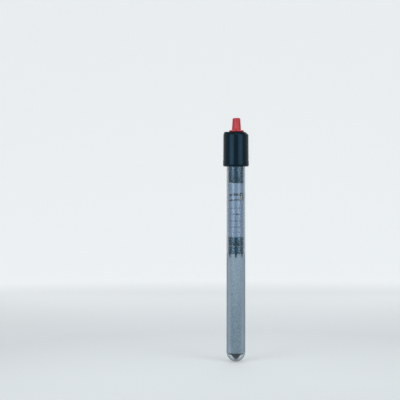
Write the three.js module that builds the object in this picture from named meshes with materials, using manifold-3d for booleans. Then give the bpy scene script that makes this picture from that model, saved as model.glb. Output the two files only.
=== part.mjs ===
// Submersible aquarium heater: a glass tube with a domed end, hung from a black cap with a red dial on top.
// Millimetres, +Z up along the tube. Z = 0 is the cap's shoulder, X = Y = 0 the tube's axis, and -Y is the front.
// From the top down the tube holds a rubber stopper, the thermostat on its carrier behind a paper label,
// two black insulators with a thin mica washer between them, and a wound ceramic core packed in quartz sand.
import * as THREE from "three";
import { mergeVertices } from "three/addons/utils/BufferGeometryUtils.js";
import Module from "manifold-3d";

const wasm = await Module();
wasm.setup();

// Driving sizes, in millimetres and degrees.

const fitGap = 0.3; // between neighbours that stay put
const runGap = 0.35; // round what turns or slides

// Glass tube
const tubeRadius = 10;
const tubeWall = 1.3;
const tubeTipWall = 2.1; // the glass is thicker where its end was melted shut
const tubeBelowCap = 207.3; // from the shoulder to the lowest point
const tubeInCap = 25;

// Cap, its seal and its cord outlet
const capWall = 2;
const capBevel = 2.9;
const capDraft = 0.15; // the cap narrows this much towards its top
const capFillet = 1.8;
const collarHeight = 6.4;
const collarStep = 0.2; // how far the collar stands out from the cap
const lipHeight = 2;
const deckThickness = 3.5;
const sealThickness = 1.1;
const sealGroove = 0.35;
const landWall = 0.9; // left outside the cord outlet
const landSetback = 0.85; // from the cap's radius to the cord land's top edge
const landStartAngle = 40; // the cord land's ends, in degrees from +X
const landEndAngle = 215;
const cordBore = 3.15;
const glandWall = 0.65;
const glandFlange = 0.95;
const glandFlangeHeight = 1.5;
const glandAngle = 110;

// Dial
const dialOffset = 3.3; // from the tube's axis to the dial's
const dialAngle = -80;
const dialTurnAngle = 135; // each way from the middle of the scale
const knobHeight = 14.7; // from the deck to the top
const knobTopRadius = 4.2;
const knobWaistRadius = 4.85;
const knobTopFillet = 1.5;
const knobFlutes = 12;
const knobFluteDepth = 0.22;
const skirtRadius = 7.9;
const skirtEdge = 1.15;
const skirtRise = 0.95; // from the skirt's edge up to the stem's foot
const skirtRecess = 0.75;
const stopRadius = 6;
const stopWidth = 1.2;
const stopHeight = 0.6;
const lugHalfAngle = 7;
const spindleRadius = 2;
const spindleInKnob = 8.5;
const spindleFlat = 0.5;
const bushLength = 8.4;
const bushWall = 1.05;
const bushFlange = 1.2; // its width and its height
const towerWall = 1.3;
const ringSection = 0.45; // section radius of the two sealing rings
const clipThickness = 0.6;
const clipWidth = 2;
const stopperFlange = 1.9;
const stopperDepth = 14.7;
const stopperRibs = 3;
const stopperGroove = 0.6;

// Setting screw and nut
const screwRadius = 1.15;
const screwBelowHead = 8.6;
const screwHeadHeight = 3.2;
const screwHeadSink = 0.2; // below the carrier's top
const tongueWidth = 0.9;
const tongueHeight = 2;
const nutHeight = 3;
const nutHalfWidth = 2.4;
const nutDrop = 1.8; // from the head's underside to the nut at rest
const screwLead = 2; // the nut's travel in one turn
const railWidth = 1;
const railLength = 7.4;

// Thermostat
const headBelowCap = 17.5;
const spineHalfWidth = 5;
const spineThickness = 1.5;
const flangeWidth = 1;
const flangeDepth = 1.2;
const footHeight = 2.5;
const shelfThickness = 1.5;
const shelfWidth = 2.6;
const armThickness = 0.35;
const armHalfWidth = 2;
const armTab = 4.6;
const armLength = 28.5;
const stripThickness = 0.6;
const stripHalfWidth = 2.5;
const stripAboveBracketFoot = 0.8;
const stripAnchor = 4.5; // held against the bracket below the hinge line
const contactGap = 0.9;
const contactRadius = 1.1;
const contactHeight = 0.6;
const contactStem = 0.5;
const contactSeat = 0.1;
const contactBelowStripTop = 3;
const contactAboveArmEnd = 7.75;
const armBehindScrew = 0.5;
const magnetSize = 3;
const magnetAboveArmEnd = 0.4;
const magnetThickness = 0.8;
const bracketThickness = 1.1;
const bracketHalfWidth = 3;
const bracketHeight = 5.5;
const rivetRadius = 0.8;
const rivetHeadRadius = 1.5;
const rivetHead = 0.5;
const leadRadius = 0.8;
const leadHalfSpacing = 2.4;
const lampRadius = 1.9;
const lampLength = 13.4;
const lampAngle = -42;
const lampBelowHead = 23.2; // from the head's underside to the shelf
const lampPin = 0.35;
const resistorRadius = 1.2;
const resistorLength = 8.5;
const resistorWire = 0.3;
const capacitorHalfWidth = 3.4;
const capacitorDepth = 3.4;
const capacitorHeight = 11.5;
const capacitorEdge = 0.5;

// Label
const labelThickness = 0.35;
const labelLength = 56.9;
const labelRightAngle = 140; // degrees from the front
const labelLeftAngle = -100;
const windowLeftAngle = 30;
const windowRightAngle = 80;
const windowTop = 10.5; // below the head
const windowHeight = 7.6;

// Insulators
const upperInsulatorHeight = 8.8;
const washerThickness = 0.6;
const lowerInsulatorHeight = 7.4;
const lowerInsulatorRoof = 2;
const lowerInsulatorWall = 1;
const insulatorChamfer = 0.4;
const fingerCount = 8;
const fingerLength = 4.4;
const fingerWidth = 2.2;
const fingerTip = 0.5;

// Heating element
const coreRadius = 3.9;
const coreFlutes = 8;
const coreFluteDepth = 0.4;
const coreBore = 1.2;
const coreBelowInsulator = 3.3;
const coilLoops = 24;
const coilWire = 0.35;
const coilGap = 0.4; // between the core and the wire round it
const coilStub = 2.2;
const coilBelowCoreTop = 1.2;
const coilAboveFillEnd = 5.1;
const coilStartAngle = 116;
const coreBelowCoil = 1;
const fillBelowDomeCentre = 0.7;
const crimpWall = 0.3;
const crimpLength = 3;
const endPadFlange = 1; // thickness of the end pad's flange
const endPadBoss = 5.8; // radius of its boss at the flange
const endPadTip = 1.4;
const returnRadius = 0.7;

// Sizes that follow from them.

const tubeBore = tubeRadius - tubeWall;
const domeCentre = -tubeBelowCap + tubeRadius;
const domeBottom = -tubeBelowCap + tubeTipWall;
const contentRadius = tubeBore - fitGap;
const labelBore = contentRadius - labelThickness;
const insideLabel = labelBore - fitGap;

const sealBore = tubeRadius + fitGap;
const sealRadius = sealBore + sealThickness;
const chamberRadius = sealRadius + fitGap;
const capRadius = chamberRadius + capWall;
const collarRadius = capRadius + collarStep;
const stopperTop = tubeInCap + fitGap + stopperFlange;
const stopperBottom = tubeInCap - stopperDepth;
const clipBottom = stopperTop + fitGap;
const bushBottom = clipBottom + clipThickness + fitGap;
const capHeight = bushBottom + bushLength;
const deckRadius = capRadius - capBevel;
const chamberRoof = capHeight - deckThickness;
const landRadius = capRadius - landSetback;

const spindleBore = spindleRadius + runGap;
const ringGrooveRadius = spindleRadius - ringSection;
const ringRadius = ringGrooveRadius + fitGap + ringSection; // centre line of a sealing ring
const ringChamber = ringRadius + ringSection + fitGap;
const bushRadius = ringChamber + bushWall;
const towerRadius = bushRadius + fitGap + towerWall;
const towerBottom = bushBottom + bushFlange + fitGap;

const glandRadius = cordBore + glandWall;
const glandHole = glandRadius + fitGap;
const glandOffset = landRadius - landWall - glandHole;
const glandBottom = chamberRoof - fitGap - glandFlangeHeight;

const knobBottom = capHeight + fitGap;
const knobTop = capHeight + knobHeight;
const skirtTop = knobBottom + skirtEdge + skirtRise;
const stopBore = stopRadius - stopWidth / 2;
const stopHalfAngle = 180 - dialTurnAngle - 2 * lugHalfAngle;

const headTop = stopperBottom - fitGap;
const headBottom = -headBelowCap;
const labelTop = headBottom - fitGap;
const labelBottom = labelTop - labelLength;
const upperTop = labelBottom - fitGap;
const upperBottom = upperTop - upperInsulatorHeight;
const washerTop = upperBottom - fitGap;
const washerBottom = washerTop - washerThickness;
const lowerTop = washerBottom - fitGap;
const lowerBottom = lowerTop - lowerInsulatorHeight;
const fingerEnd = lowerBottom - fingerLength;
const fillTop = lowerBottom - fitGap;
const fillBottom = domeCentre - fillBelowDomeCentre;
const coreTop = lowerBottom - coreBelowInsulator;
const coilTop = coreTop - coilBelowCoreTop;
const coilBottom = fillBottom + coilAboveFillEnd;
const coilPitch = (coilTop - coilBottom) / coilLoops;
const coreBottom = coilBottom - coreBelowCoil;
const coilRadius = coreRadius + coilGap + coilWire;
const fillBore = coilRadius + coilWire + fitGap;

const [dialX, dialY] = polar(dialOffset, dialAngle);
const [glandX, glandY] = polar(glandOffset, glandAngle);

// The thermostat's pieces stand one behind the other, from the setting screw back to the leads.
const armFront = dialY + screwRadius + armBehindScrew;
const armBack = armFront + armThickness;
const stripFront = armBack + contactHeight + contactGap + contactHeight;
const stripBack = stripFront + stripThickness;
const bracketFront = stripBack + fitGap;
const bracketBack = bracketFront + bracketThickness;
const spineFront = bracketBack + fitGap;
const spineBack = spineFront + spineThickness;
const leadY = spineBack + fitGap + leadRadius;

const nutTop = headBottom - nutDrop;
const nutBottom = nutTop - nutHeight;
const nutTravel = screwLead * (dialTurnAngle / 360);
const armTop = nutBottom - nutTravel - fitGap;
const armBottom = armTop - armLength;
const footTop = labelBottom + footHeight;
const bracketBottom = footTop + fitGap;
const contactZ = armBottom + contactAboveArmEnd;
const stripTop = contactZ + contactBelowStripTop;
const stripBottom = bracketBottom + stripAboveBracketFoot;
const stripHinge = stripBottom + stripAnchor;
const bracketRivetZ = stripBottom + stripAnchor / 2;
const armRivetZ = armTop + armTab / 2;
const shelfTop = headBottom - lampBelowHead;
const [lampX, lampY] = polar(insideLabel - lampRadius, lampAngle);
const crimpBore = leadRadius + fitGap;
const [stubX, stubY] = polar(coilRadius, coilStartAngle);

function polar(radius, degrees) {
  const angle = (degrees * Math.PI) / 180;
  return [radius * Math.cos(angle), radius * Math.sin(angle)];
}

// Points of an arc in a profile, between two angles in degrees.
function arc(centreR, centreZ, radius, from, to, steps) {
  return Array.from({ length: steps + 1 }, (_, i) => {
    const [r, z] = polar(radius, from + ((to - from) * i) / steps);
    return [centreR + r, centreZ + z];
  });
}

// A profile of [radius, z] points turned about Z. It runs up the outside and down the inside.
function turned(profile, segments = 40) {
  const points = profile.map(([r, z]) => new THREE.Vector2(Math.max(r, 0), z));
  return new THREE.LatheGeometry(points, segments).rotateX(Math.PI / 2);
}

// The same for a ring, whose profile closes on itself.
function turnedRing(profile, segments = 40) {
  return turned([...profile, profile[0]], segments);
}

function pipe(outer, inner, bottom, top, segments = 40) {
  return turnedRing(
    [
      [inner, bottom],
      [outer, bottom],
      [outer, top],
      [inner, top],
    ],
    segments,
  );
}

function post(radius, bottom, top, x = 0, y = 0, segments = 24) {
  return new THREE.CylinderGeometry(radius, radius, top - bottom, segments)
    .rotateX(Math.PI / 2)
    .translate(x, y, (bottom + top) / 2);
}

function postAlongY(radius, front, back, x, z, segments = 16) {
  return new THREE.CylinderGeometry(radius, radius, back - front, segments).translate(
    x,
    (front + back) / 2,
    z,
  );
}

function block(x0, x1, y0, y1, z0, z1) {
  return new THREE.BoxGeometry(x1 - x0, y1 - y0, z1 - z0).translate(
    (x0 + x1) / 2,
    (y0 + y1) / 2,
    (z0 + z1) / 2,
  );
}

// Part of a ring between two angles in degrees from +X, standing between two heights.
function sector(inner, outer, from, to, bottom, top, steps = 24) {
  const outside = arc(0, 0, outer, from, to, steps);
  const inside = arc(0, 0, inner, to, from, steps);
  const shape = new THREE.Shape([...outside, ...inside].map(([x, y]) => new THREE.Vector2(x, y)));
  return new THREE.ExtrudeGeometry(shape, { depth: top - bottom, bevelEnabled: false }).translate(
    0,
    0,
    bottom,
  );
}

// A round wire through the given points, straight between them and rounded at each corner.
function wire(points, radius, sides = 7, bend = 1.6) {
  const corners = points.map((p) => new THREE.Vector3(...p));
  const route = [corners[0]];
  for (let i = 1; i + 1 < corners.length; i += 1) {
    const before = corners[i].distanceTo(corners[i - 1]);
    const after = corners[i].distanceTo(corners[i + 1]);
    const reach = Math.min(bend, before / 2.1, after / 2.1);
    const start = corners[i].clone().lerp(corners[i - 1], reach / before);
    const end = corners[i].clone().lerp(corners[i + 1], reach / after);
    route.push(...new THREE.QuadraticBezierCurve3(start, corners[i], end).getPoints(3));
  }
  route.push(corners[corners.length - 1]);
  return swept(route, radius, sides);
}

// A closed tube round a list of points: rings square to the route, each turned as little as can be.
function swept(route, radius, sides) {
  const last = route.length - 1;
  let side = new THREE.Vector3(0.3, 1, 0.2);
  const rings = route.map((centre, i) => {
    const along = route[Math.min(i + 1, last)].clone().sub(route[Math.max(i - 1, 0)]).normalize();
    side = side.clone().addScaledVector(along, -side.dot(along)).normalize();
    const other = along.clone().cross(side);
    return Array.from({ length: sides }, (_, k) => {
      const [u, v] = polar(radius, (k * 360) / sides);
      return centre.clone().addScaledVector(side, u).addScaledVector(other, v);
    });
  });
  const positions = [];
  const triangle = (a, b, c) => positions.push(...a.toArray(), ...b.toArray(), ...c.toArray());
  for (let i = 0; i < last; i += 1) {
    for (let k = 0; k < sides; k += 1) {
      const next = (k + 1) % sides;
      triangle(rings[i][k], rings[i][next], rings[i + 1][next]);
      triangle(rings[i][k], rings[i + 1][next], rings[i + 1][k]);
    }
  }
  for (let k = 1; k + 1 < sides; k += 1) {
    triangle(rings[0][0], rings[0][k + 1], rings[0][k]);
    triangle(rings[last][0], rings[last][k], rings[last][k + 1]);
  }
  const geometry = new THREE.BufferGeometry();
  geometry.setAttribute("position", new THREE.Float32BufferAttribute(positions, 3));
  return geometry;
}

function solidFrom(geometry) {
  const bare = geometry.index ? geometry.toNonIndexed() : geometry.clone();
  bare.deleteAttribute("normal");
  bare.deleteAttribute("uv");
  const merged = mergeVertices(bare, 1e-4);
  const mesh = new wasm.Mesh({
    numProp: 3,
    vertProperties: merged.attributes.position.array,
    triVerts: new Uint32Array(merged.index.array),
  });
  return new wasm.Manifold(mesh);
}

function geometryFrom(solid) {
  const mesh = solid.getMesh();
  const geometry = new THREE.BufferGeometry();
  geometry.setAttribute("position", new THREE.BufferAttribute(mesh.vertProperties, mesh.numProp));
  geometry.setIndex(new THREE.BufferAttribute(mesh.triVerts, 1));
  return geometry.toNonIndexed();
}

function join(first, ...others) {
  const sum = others.reduce((solid, other) => solid.add(solidFrom(other)), solidFrom(first));
  return geometryFrom(sum);
}

function cut(first, ...others) {
  const rest = others.reduce((solid, other) => solid.subtract(solidFrom(other)), solidFrom(first));
  return geometryFrom(rest);
}

function common(first, second) {
  return geometryFrom(solidFrom(first).intersect(solidFrom(second)));
}

const heater = new THREE.Group();
const dial = new THREE.Group(); // turns about its own Z
dial.position.set(dialX, dialY, 0);
heater.add(dial);

function finish(color, roughness, metalness = 0) {
  return new THREE.MeshStandardMaterial({ color, roughness, metalness });
}

const finishes = {
  glass: finish(0xdfe9ee, 0.05),
  capBlack: finish(0x15181c, 0.4),
  dialRed: finish(0xc23a40, 0.35),
  rubber: finish(0x1b1d20, 0.8),
  phenolic: finish(0x17191d, 0.5),
  brass: finish(0xb8975a, 0.35, 1),
  steel: finish(0xa8acb0, 0.3, 1),
  copper: finish(0xb4714a, 0.4, 1),
  silver: finish(0xd6d8da, 0.25, 1),
  ferrite: finish(0x3a3b3e, 0.6, 0.4),
  paper: finish(0xe9edf2, 0.6),
  mica: finish(0xd8d3c4, 0.4),
  ceramic: finish(0xd9d4c8, 0.6),
  sand: finish(0xb6c2cc, 0.9),
  sleeving: finish(0xe3e0d6, 0.8),
  lampGlass: finish(0xe8a27a, 0.1),
  resistor: finish(0xb59a6c, 0.5),
  capacitor: finish(0x9c3a2a, 0.4),
};
Object.assign(finishes.glass, { transparent: true, opacity: 0.3 });

function addPiece(name, geometry, material, parent = heater, position = [0, 0, 0]) {
  const mesh = new THREE.Mesh(geometry, material.clone());
  mesh.name = name;
  mesh.position.set(...position);
  parent.add(mesh);
}

function glassTube() {
  const rim = tubeWall / 2;
  const innerDome = arc(0, domeCentre, tubeBore, -12, -78, 6);
  return turned([
    ...arc(0, domeCentre, tubeRadius, -90, 0, 9),
    ...arc(tubeRadius - rim, tubeInCap - rim, rim, 0, 180, 4),
    [tubeBore, domeCentre],
    ...innerDome,
    [0, domeBottom],
  ], 32);
}

// A closed ring of rubber between the glass and the cap, grooved outside so that it can be pushed in.
function tubeSeal() {
  const bottom = lipHeight + fitGap;
  const length = tubeInCap - bottom;
  const grooveCount = 3;
  const pitch = length / grooveCount;
  const outside = Array.from({ length: grooveCount }, (_, i) => {
    const z = bottom + i * pitch;
    return [
      [sealRadius, z + pitch * 0.15],
      [sealRadius, z + pitch * 0.6],
      [sealRadius - sealGroove, z + pitch * 0.7],
      [sealRadius - sealGroove, z + pitch * 0.9],
    ];
  }).flat();
  return turnedRing([
    [sealBore, bottom],
    [sealRadius - sealGroove, bottom],
    ...outside,
    [sealRadius - sealGroove, tubeInCap],
    [sealBore, tubeInCap],
  ], 24);
}

// Bevelled all round, except where the land that carries the cord keeps the wall at full height.
function capBody() {
  const outside = turned(
    [
      [0, 0],
      ...arc(collarRadius - capFillet, capFillet, capFillet, -90, 0, 5),
      [collarRadius, collarHeight - collarStep],
      [capRadius, collarHeight],
      [capRadius - capDraft, capHeight - capBevel],
      [deckRadius, capHeight],
      [0, capHeight],
    ],
    48,
  );
  const landRing = turnedRing(
    [
      [deckRadius - capBevel, capHeight - capBevel - 1],
      [capRadius - capDraft, capHeight - capBevel - 1],
      [capRadius - capDraft, capHeight - capBevel],
      [landRadius, capHeight - 0.4],
      [landRadius - 0.4, capHeight],
      [deckRadius - capBevel, capHeight],
    ],
    48,
  );
  const landSpan = sector(1, capRadius + 1, landStartAngle, landEndAngle, 0, capHeight + 1);
  return join(outside, common(landRing, landSpan));
}

function capShell() {
  const chamber = turned([
    [0, -1],
    [sealBore, -1],
    [sealBore, lipHeight],
    [chamberRadius, lipHeight],
    [chamberRadius, chamberRoof],
    [0, chamberRoof],
  ]);
  const tower = post(towerRadius, towerBottom, chamberRoof + 1, dialX, dialY);
  const stopRib = sector(
    stopBore,
    stopBore + stopWidth,
    90 - stopHalfAngle,
    90 + stopHalfAngle,
    capHeight - 1,
    capHeight + stopHeight,
    10,
  ).translate(dialX, dialY, 0);
  return cut(
    join(cut(capBody(), chamber), tower, stopRib),
    post(bushRadius + fitGap, towerBottom - 1, capHeight + 1, dialX, dialY),
    post(glandHole, chamberRoof - 1, capHeight + 1, glandX, glandY),
  );
}

// A rubber sleeve for the cord, held under the deck by a flange that is trimmed to the chamber's wall.
function cordGland() {
  const sleeve = turnedRing(
    [
      [cordBore, glandBottom],
      [glandRadius + glandFlange, glandBottom],
      [glandRadius + glandFlange, glandBottom + glandFlangeHeight],
      [glandRadius, glandBottom + glandFlangeHeight],
      [glandRadius, capHeight - 0.3],
      [glandRadius - 0.3, capHeight],
      [cordBore + 0.2, capHeight],
      [cordBore, capHeight - 0.3],
    ],
    28,
  ).translate(glandX, glandY, 0);
  const room = post(chamberRadius - fitGap, glandBottom - 1, chamberRoof, 0, 0, 40);
  const neckRoom = post(glandRadius + 1, chamberRoof, capHeight + 1, glandX, glandY);
  return common(sleeve, join(room, neckRoom));
}

// Ribbed where it grips the glass, with a flange on the tube's rim and holes for the spindle and leads.
function stopper() {
  const pitch = (tubeInCap - stopperBottom) / stopperRibs;
  const ribs = Array.from({ length: stopperRibs }, (_, i) => {
    const z = stopperBottom + i * pitch;
    return [
      [contentRadius - stopperGroove, z],
      [contentRadius, z + pitch * 0.3],
      [contentRadius, z + pitch * 0.55],
      [contentRadius - stopperGroove, z + pitch * 0.8],
    ];
  }).flat();
  const flangeRadius = tubeRadius - fitGap;
  const body = turned([
    [0, stopperBottom],
    ...ribs,
    [contentRadius - stopperGroove, stopperTop - stopperFlange],
    [flangeRadius, stopperTop - stopperFlange],
    [flangeRadius, stopperTop - 0.5],
    [flangeRadius - 0.5, stopperTop],
    [0, stopperTop],
  ], 26);
  const bottom = stopperBottom - 1;
  const top = stopperTop + 1;
  return cut(
    body,
    post(spindleBore, bottom, top, dialX, dialY, 20),
    post(leadRadius + fitGap, bottom, top, -leadHalfSpacing, leadY, 12),
    post(leadRadius + fitGap, bottom, top, leadHalfSpacing, leadY, 12),
  );
}

// The stem is a loft of fluted rings; it stands on a flat skirt that carries the scale.
function flutedStem() {
  const foot = skirtTop - 0.6;
  const shoulder = knobTop - knobTopFillet;
  const rings = [
    [knobWaistRadius, foot, 0],
    [knobWaistRadius, skirtTop + 0.5, 0],
    [knobWaistRadius - 0.05, skirtTop + 1.3, knobFluteDepth],
    [knobTopRadius + 0.1, shoulder - 0.6, knobFluteDepth],
    ...arc(knobTopRadius - knobTopFillet, shoulder, knobTopFillet, 8, 80, 4).map(([r, z]) => [r, z, 0]),
    [knobTopRadius - knobTopFillet - 0.2, knobTop, 0],
    [knobTopRadius - knobTopFillet - 0.7, knobTop - 0.35, 0],
  ];
  const around = knobFlutes * 4;
  const positions = [];
  const point = ([radius, z, depth], j) => {
    const turn = (j % around) / around;
    const r = radius - depth * (0.5 - 0.5 * Math.cos(turn * knobFlutes * 2 * Math.PI));
    return [...polar(r, turn * 360), z];
  };
  const centre = (ring) => [0, 0, ring[1]];
  for (let j = 0; j < around; j += 1) {
    for (let i = 0; i + 1 < rings.length; i += 1) {
      const a = point(rings[i], j);
      const b = point(rings[i], j + 1);
      const c = point(rings[i + 1], j + 1);
      const d = point(rings[i + 1], j);
      positions.push(...a, ...b, ...c, ...a, ...c, ...d);
    }
    const last = rings[rings.length - 1];
    positions.push(...centre(rings[0]), ...point(rings[0], j + 1), ...point(rings[0], j));
    positions.push(...centre(last), ...point(last, j), ...point(last, j + 1));
  }
  const geometry = new THREE.BufferGeometry();
  geometry.setAttribute("position", new THREE.Float32BufferAttribute(positions, 3));
  return geometry;
}

function knob() {
  const edgeTop = knobBottom + skirtEdge;
  const skirt = turned(
    [
      [0, knobBottom],
      [skirtRadius - 0.2, knobBottom],
      [skirtRadius, knobBottom + 0.2],
      [skirtRadius, edgeTop - 0.15],
      [skirtRadius - 0.2, edgeTop],
      [knobWaistRadius + 0.9, skirtTop - 0.35],
      [knobWaistRadius + 0.35, skirtTop - 0.1],
      [knobWaistRadius - 0.2, skirtTop + 0.35],
      [0, skirtTop + 0.35],
    ],
    36,
  );
  const recess = pipe(
    stopBore + stopWidth + runGap,
    stopBore - runGap,
    knobBottom - 1,
    knobBottom + skirtRecess,
    32,
  );
  const lug = sector(
    stopBore - runGap - 0.2,
    stopBore + stopWidth + runGap + 0.2,
    -90 - lugHalfAngle,
    -90 + lugHalfAngle,
    knobBottom,
    knobBottom + skirtRecess + 0.1,
    4,
  );
  const socketTop = knobBottom + spindleInKnob + fitGap;
  const socket = common(
    post(spindleRadius + fitGap, knobBottom - 1, socketTop, 0, 0, 20),
    block(-5, 5, -spindleRadius - 1, spindleRadius - spindleFlat + fitGap, knobBottom - 2, socketTop + 1),
  );
  return cut(join(cut(skirt, recess), lug, flutedStem()), socket);
}

// Two ring grooves, a clip groove, a flat for the knob and a slot that drives the setting screw.
function spindle() {
  const bottom = headTop + fitGap;
  const top = knobBottom + spindleInKnob;
  const [lowRing, highRing] = ringHeights();
  const groove = (z, half, radius) => [
    [spindleRadius, z - half],
    [radius, z - half],
    [radius, z + half],
    [spindleRadius, z + half],
  ];
  const halfRing = ringSection + 0.25;
  const body = turned(
    [
      [0, bottom],
      [spindleRadius, bottom],
      ...groove(clipBottom + clipThickness / 2, clipThickness / 2 + 0.2, spindleRadius - 0.5),
      ...groove(lowRing, halfRing, ringGrooveRadius),
      ...groove(highRing, halfRing, ringGrooveRadius),
      [spindleRadius, top - 0.4],
      [spindleRadius - 0.4, top],
      [0, top],
    ],
    16,
  );
  const flat = block(-3, 3, spindleRadius - spindleFlat, spindleRadius + 1, knobBottom, top + 1);
  const slotHalf = tongueWidth / 2 + fitGap;
  const slot = block(-3, 3, -slotHalf, slotHalf, bottom - 1, bottom + tongueHeight + fitGap);
  return cut(body, flat, slot);
}

function ringHeights() {
  const middle = bushBottom + bushFlange + (bushLength - bushFlange) / 2;
  return [middle - 1.5, middle + 1.5];
}

function sealingRing(z) {
  return new THREE.TorusGeometry(ringRadius, ringSection, 6, 16).translate(0, 0, z);
}

// Flanged bush in the cap's tower: a narrow bearing at each end and a wider bore for the rings between them.
function spindleBush() {
  const [lowRing, highRing] = ringHeights();
  const chamberLow = lowRing - 1.1;
  const chamberHigh = highRing + 1.1;
  return turnedRing(
    [
      [spindleBore, bushBottom],
      [bushRadius + bushFlange, bushBottom],
      [bushRadius + bushFlange, bushBottom + bushFlange],
      [bushRadius, bushBottom + bushFlange],
      [bushRadius, capHeight - 0.3],
      [bushRadius - 0.3, capHeight],
      [spindleBore, capHeight],
      [spindleBore, chamberHigh],
      [ringChamber, chamberHigh - 0.3],
      [ringChamber, chamberLow + 0.3],
      [spindleBore, chamberLow],
    ],
    20,
  );
}

// A sprung steel clip, open on one side, that keeps the spindle from being pulled out.
function retainingClip() {
  const bore = spindleRadius - 0.2;
  const ring = sector(bore, bore + clipWidth, -140, 140, clipBottom, clipBottom + clipThickness, 28);
  const notches = [-90, 0, 90].map((angle) => {
    const [x, y] = polar(bore, angle);
    return post(0.55, clipBottom - 1, clipBottom + 1, x, y, 10);
  });
  return cut(ring, ...notches);
}

// Driven by the spindle's slot; its thread is plain here.
function settingScrew() {
  const top = headTop - screwHeadSink;
  const headFoot = headTop - screwHeadHeight;
  const shank = turned(
    [
      [0, headBottom - screwBelowHead],
      [screwRadius - 0.35, headBottom - screwBelowHead],
      [screwRadius, headBottom - screwBelowHead + 0.35],
      [screwRadius, headFoot],
      [spindleRadius, headFoot + 0.4],
      [spindleRadius, top],
      [0, top],
    ],
    20,
  );
  const tongueTop = headTop + fitGap + tongueHeight;
  const tongueReach = spindleRadius - fitGap;
  const tongue = block(-tongueReach, tongueReach, -tongueWidth / 2, tongueWidth / 2, top - 1, tongueTop);
  return join(shank, tongue);
}

// Climbs the screw between two rails, and its heel presses on the contact arm.
function settingNut() {
  const front = dialY - nutHalfWidth;
  const heel = armBack + 0.35;
  const body = block(dialX - nutHalfWidth, dialX + nutHalfWidth, front, heel, nutBottom, nutTop);
  const heelTop = nutBottom + nutHeight * 0.45;
  const heelCut = block(dialX - 4, dialX + 4, armFront - fitGap, heel + 1, heelTop, nutTop + 1);
  return cut(body, heelCut, post(screwRadius + runGap, nutBottom - 1, nutTop + 1, dialX, dialY, 20));
}

// One moulding: the head that fills the tube, a channel-shaped spine, a lamp shelf, rails and a foot.
function thermostatCarrier() {
  const head = turned([
    [0, headBottom],
    [contentRadius - 0.4, headBottom],
    [contentRadius, headBottom + 0.4],
    [contentRadius, headTop - 0.6],
    [contentRadius - 0.6, headTop],
    [0, headTop],
  ]);
  const spine = block(-spineHalfWidth, spineHalfWidth, spineFront, spineBack, labelBottom, headBottom + 1);
  const flanges = [-1, 1].map((side) => {
    const inner = side * (spineHalfWidth - flangeWidth);
    const outer = side * spineHalfWidth;
    const [left, right] = [Math.min(inner, outer), Math.max(inner, outer)];
    return block(left, right, spineFront - flangeDepth, spineFront + 0.1, labelBottom, headBottom + 1);
  });
  const foot = turned([
    [0, labelBottom],
    [insideLabel, labelBottom],
    [insideLabel, footTop - 0.4],
    [insideLabel - 0.4, footTop],
    [0, footTop],
  ]);
  const shelfInner = spineHalfWidth - shelfWidth;
  const shelf = join(
    block(shelfInner, spineHalfWidth, lampY, spineFront + 0.1, shelfTop - shelfThickness, shelfTop),
    post(lampRadius, shelfTop - shelfThickness, shelfTop, lampX, lampY, 20),
  );
  const railFront = dialY - nutHalfWidth + 0.6;
  const rails = [-1, 1].map((side) => {
    const inner = dialX + side * (nutHalfWidth + runGap);
    const outer = inner + side * railWidth;
    const [left, right] = [Math.min(inner, outer), Math.max(inner, outer)];
    return block(left, right, railFront, armFront - fitGap, headBottom - railLength, headBottom + 1);
  });
  const low = labelBottom - 1;
  const leadHole = leadRadius + fitGap;
  const holes = [
    post(screwRadius + runGap, headBottom - 1, headTop + 1, dialX, dialY, 20),
    post(spindleRadius + runGap, headTop - screwHeadHeight - runGap, headTop + 1, dialX, dialY, 20),
    post(leadHole, low, headTop + 1, -leadHalfSpacing, leadY, 12),
    post(leadHole, low, headTop + 1, leadHalfSpacing, leadY, 12),
    postAlongY(rivetRadius + fitGap, spineFront - 2, spineBack + 2, 0, armRivetZ),
    postAlongY(rivetRadius + fitGap, spineFront - 2, spineBack + 2, 0, bracketRivetZ),
    ...lampPinPlaces().map(([x, y]) => post(lampPin + fitGap, shelfTop - 3, shelfTop + 1, x, y, 10)),
  ];
  const slots = [0, 1, 2].map((i) => {
    const z = armTop - 8 - i * 9;
    return block(-1.6, 1.6, spineFront - 1, spineBack + 1, z - 5, z);
  });
  return cut(join(head, spine, ...flanges, foot, shelf, ...rails), ...holes, ...slots);
}

// Sheet bent twice: a tab on the spine, a bridge under the nut's heel and a long leaf down to the magnet.
function contactArm() {
  const tabBack = spineFront - fitGap;
  const bend = 0.6;
  const outline = [
    [tabBack, armTop + armTab],
    [tabBack - armThickness, armTop + armTab],
    [tabBack - armThickness, armTop + bend],
    [tabBack - armThickness - bend, armTop],
    [armFront + bend, armTop],
    [armFront, armTop - bend],
    [armFront, armBottom],
    [armBack, armBottom],
    [armBack, armTop - bend],
    [armBack + bend * 0.4, armTop - armThickness],
    [tabBack - bend * 0.4, armTop - armThickness],
    [tabBack, armTop],
  ];
  const shape = new THREE.Shape(outline.map(([y, z]) => new THREE.Vector2(y, z)));
  const sheet = new THREE.ExtrudeGeometry(shape, { depth: 2 * armHalfWidth, bevelEnabled: false })
    .rotateX(Math.PI / 2)
    .rotateZ(Math.PI / 2)
    .translate(-armHalfWidth, 0, 0);
  return cut(
    sheet,
    postAlongY(rivetRadius + fitGap, tabBack - 2, tabBack + 2, 0, armRivetZ),
    postAlongY(contactStem + fitGap, armFront - 2, armBack + 2, 0, contactZ),
  );
}

function magnet() {
  const front = armBack + fitGap;
  const bottom = armBottom + magnetAboveArmEnd;
  const half = magnetSize / 2;
  return block(-half, half, front, front + magnetThickness, bottom, bottom + magnetSize);
}

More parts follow.
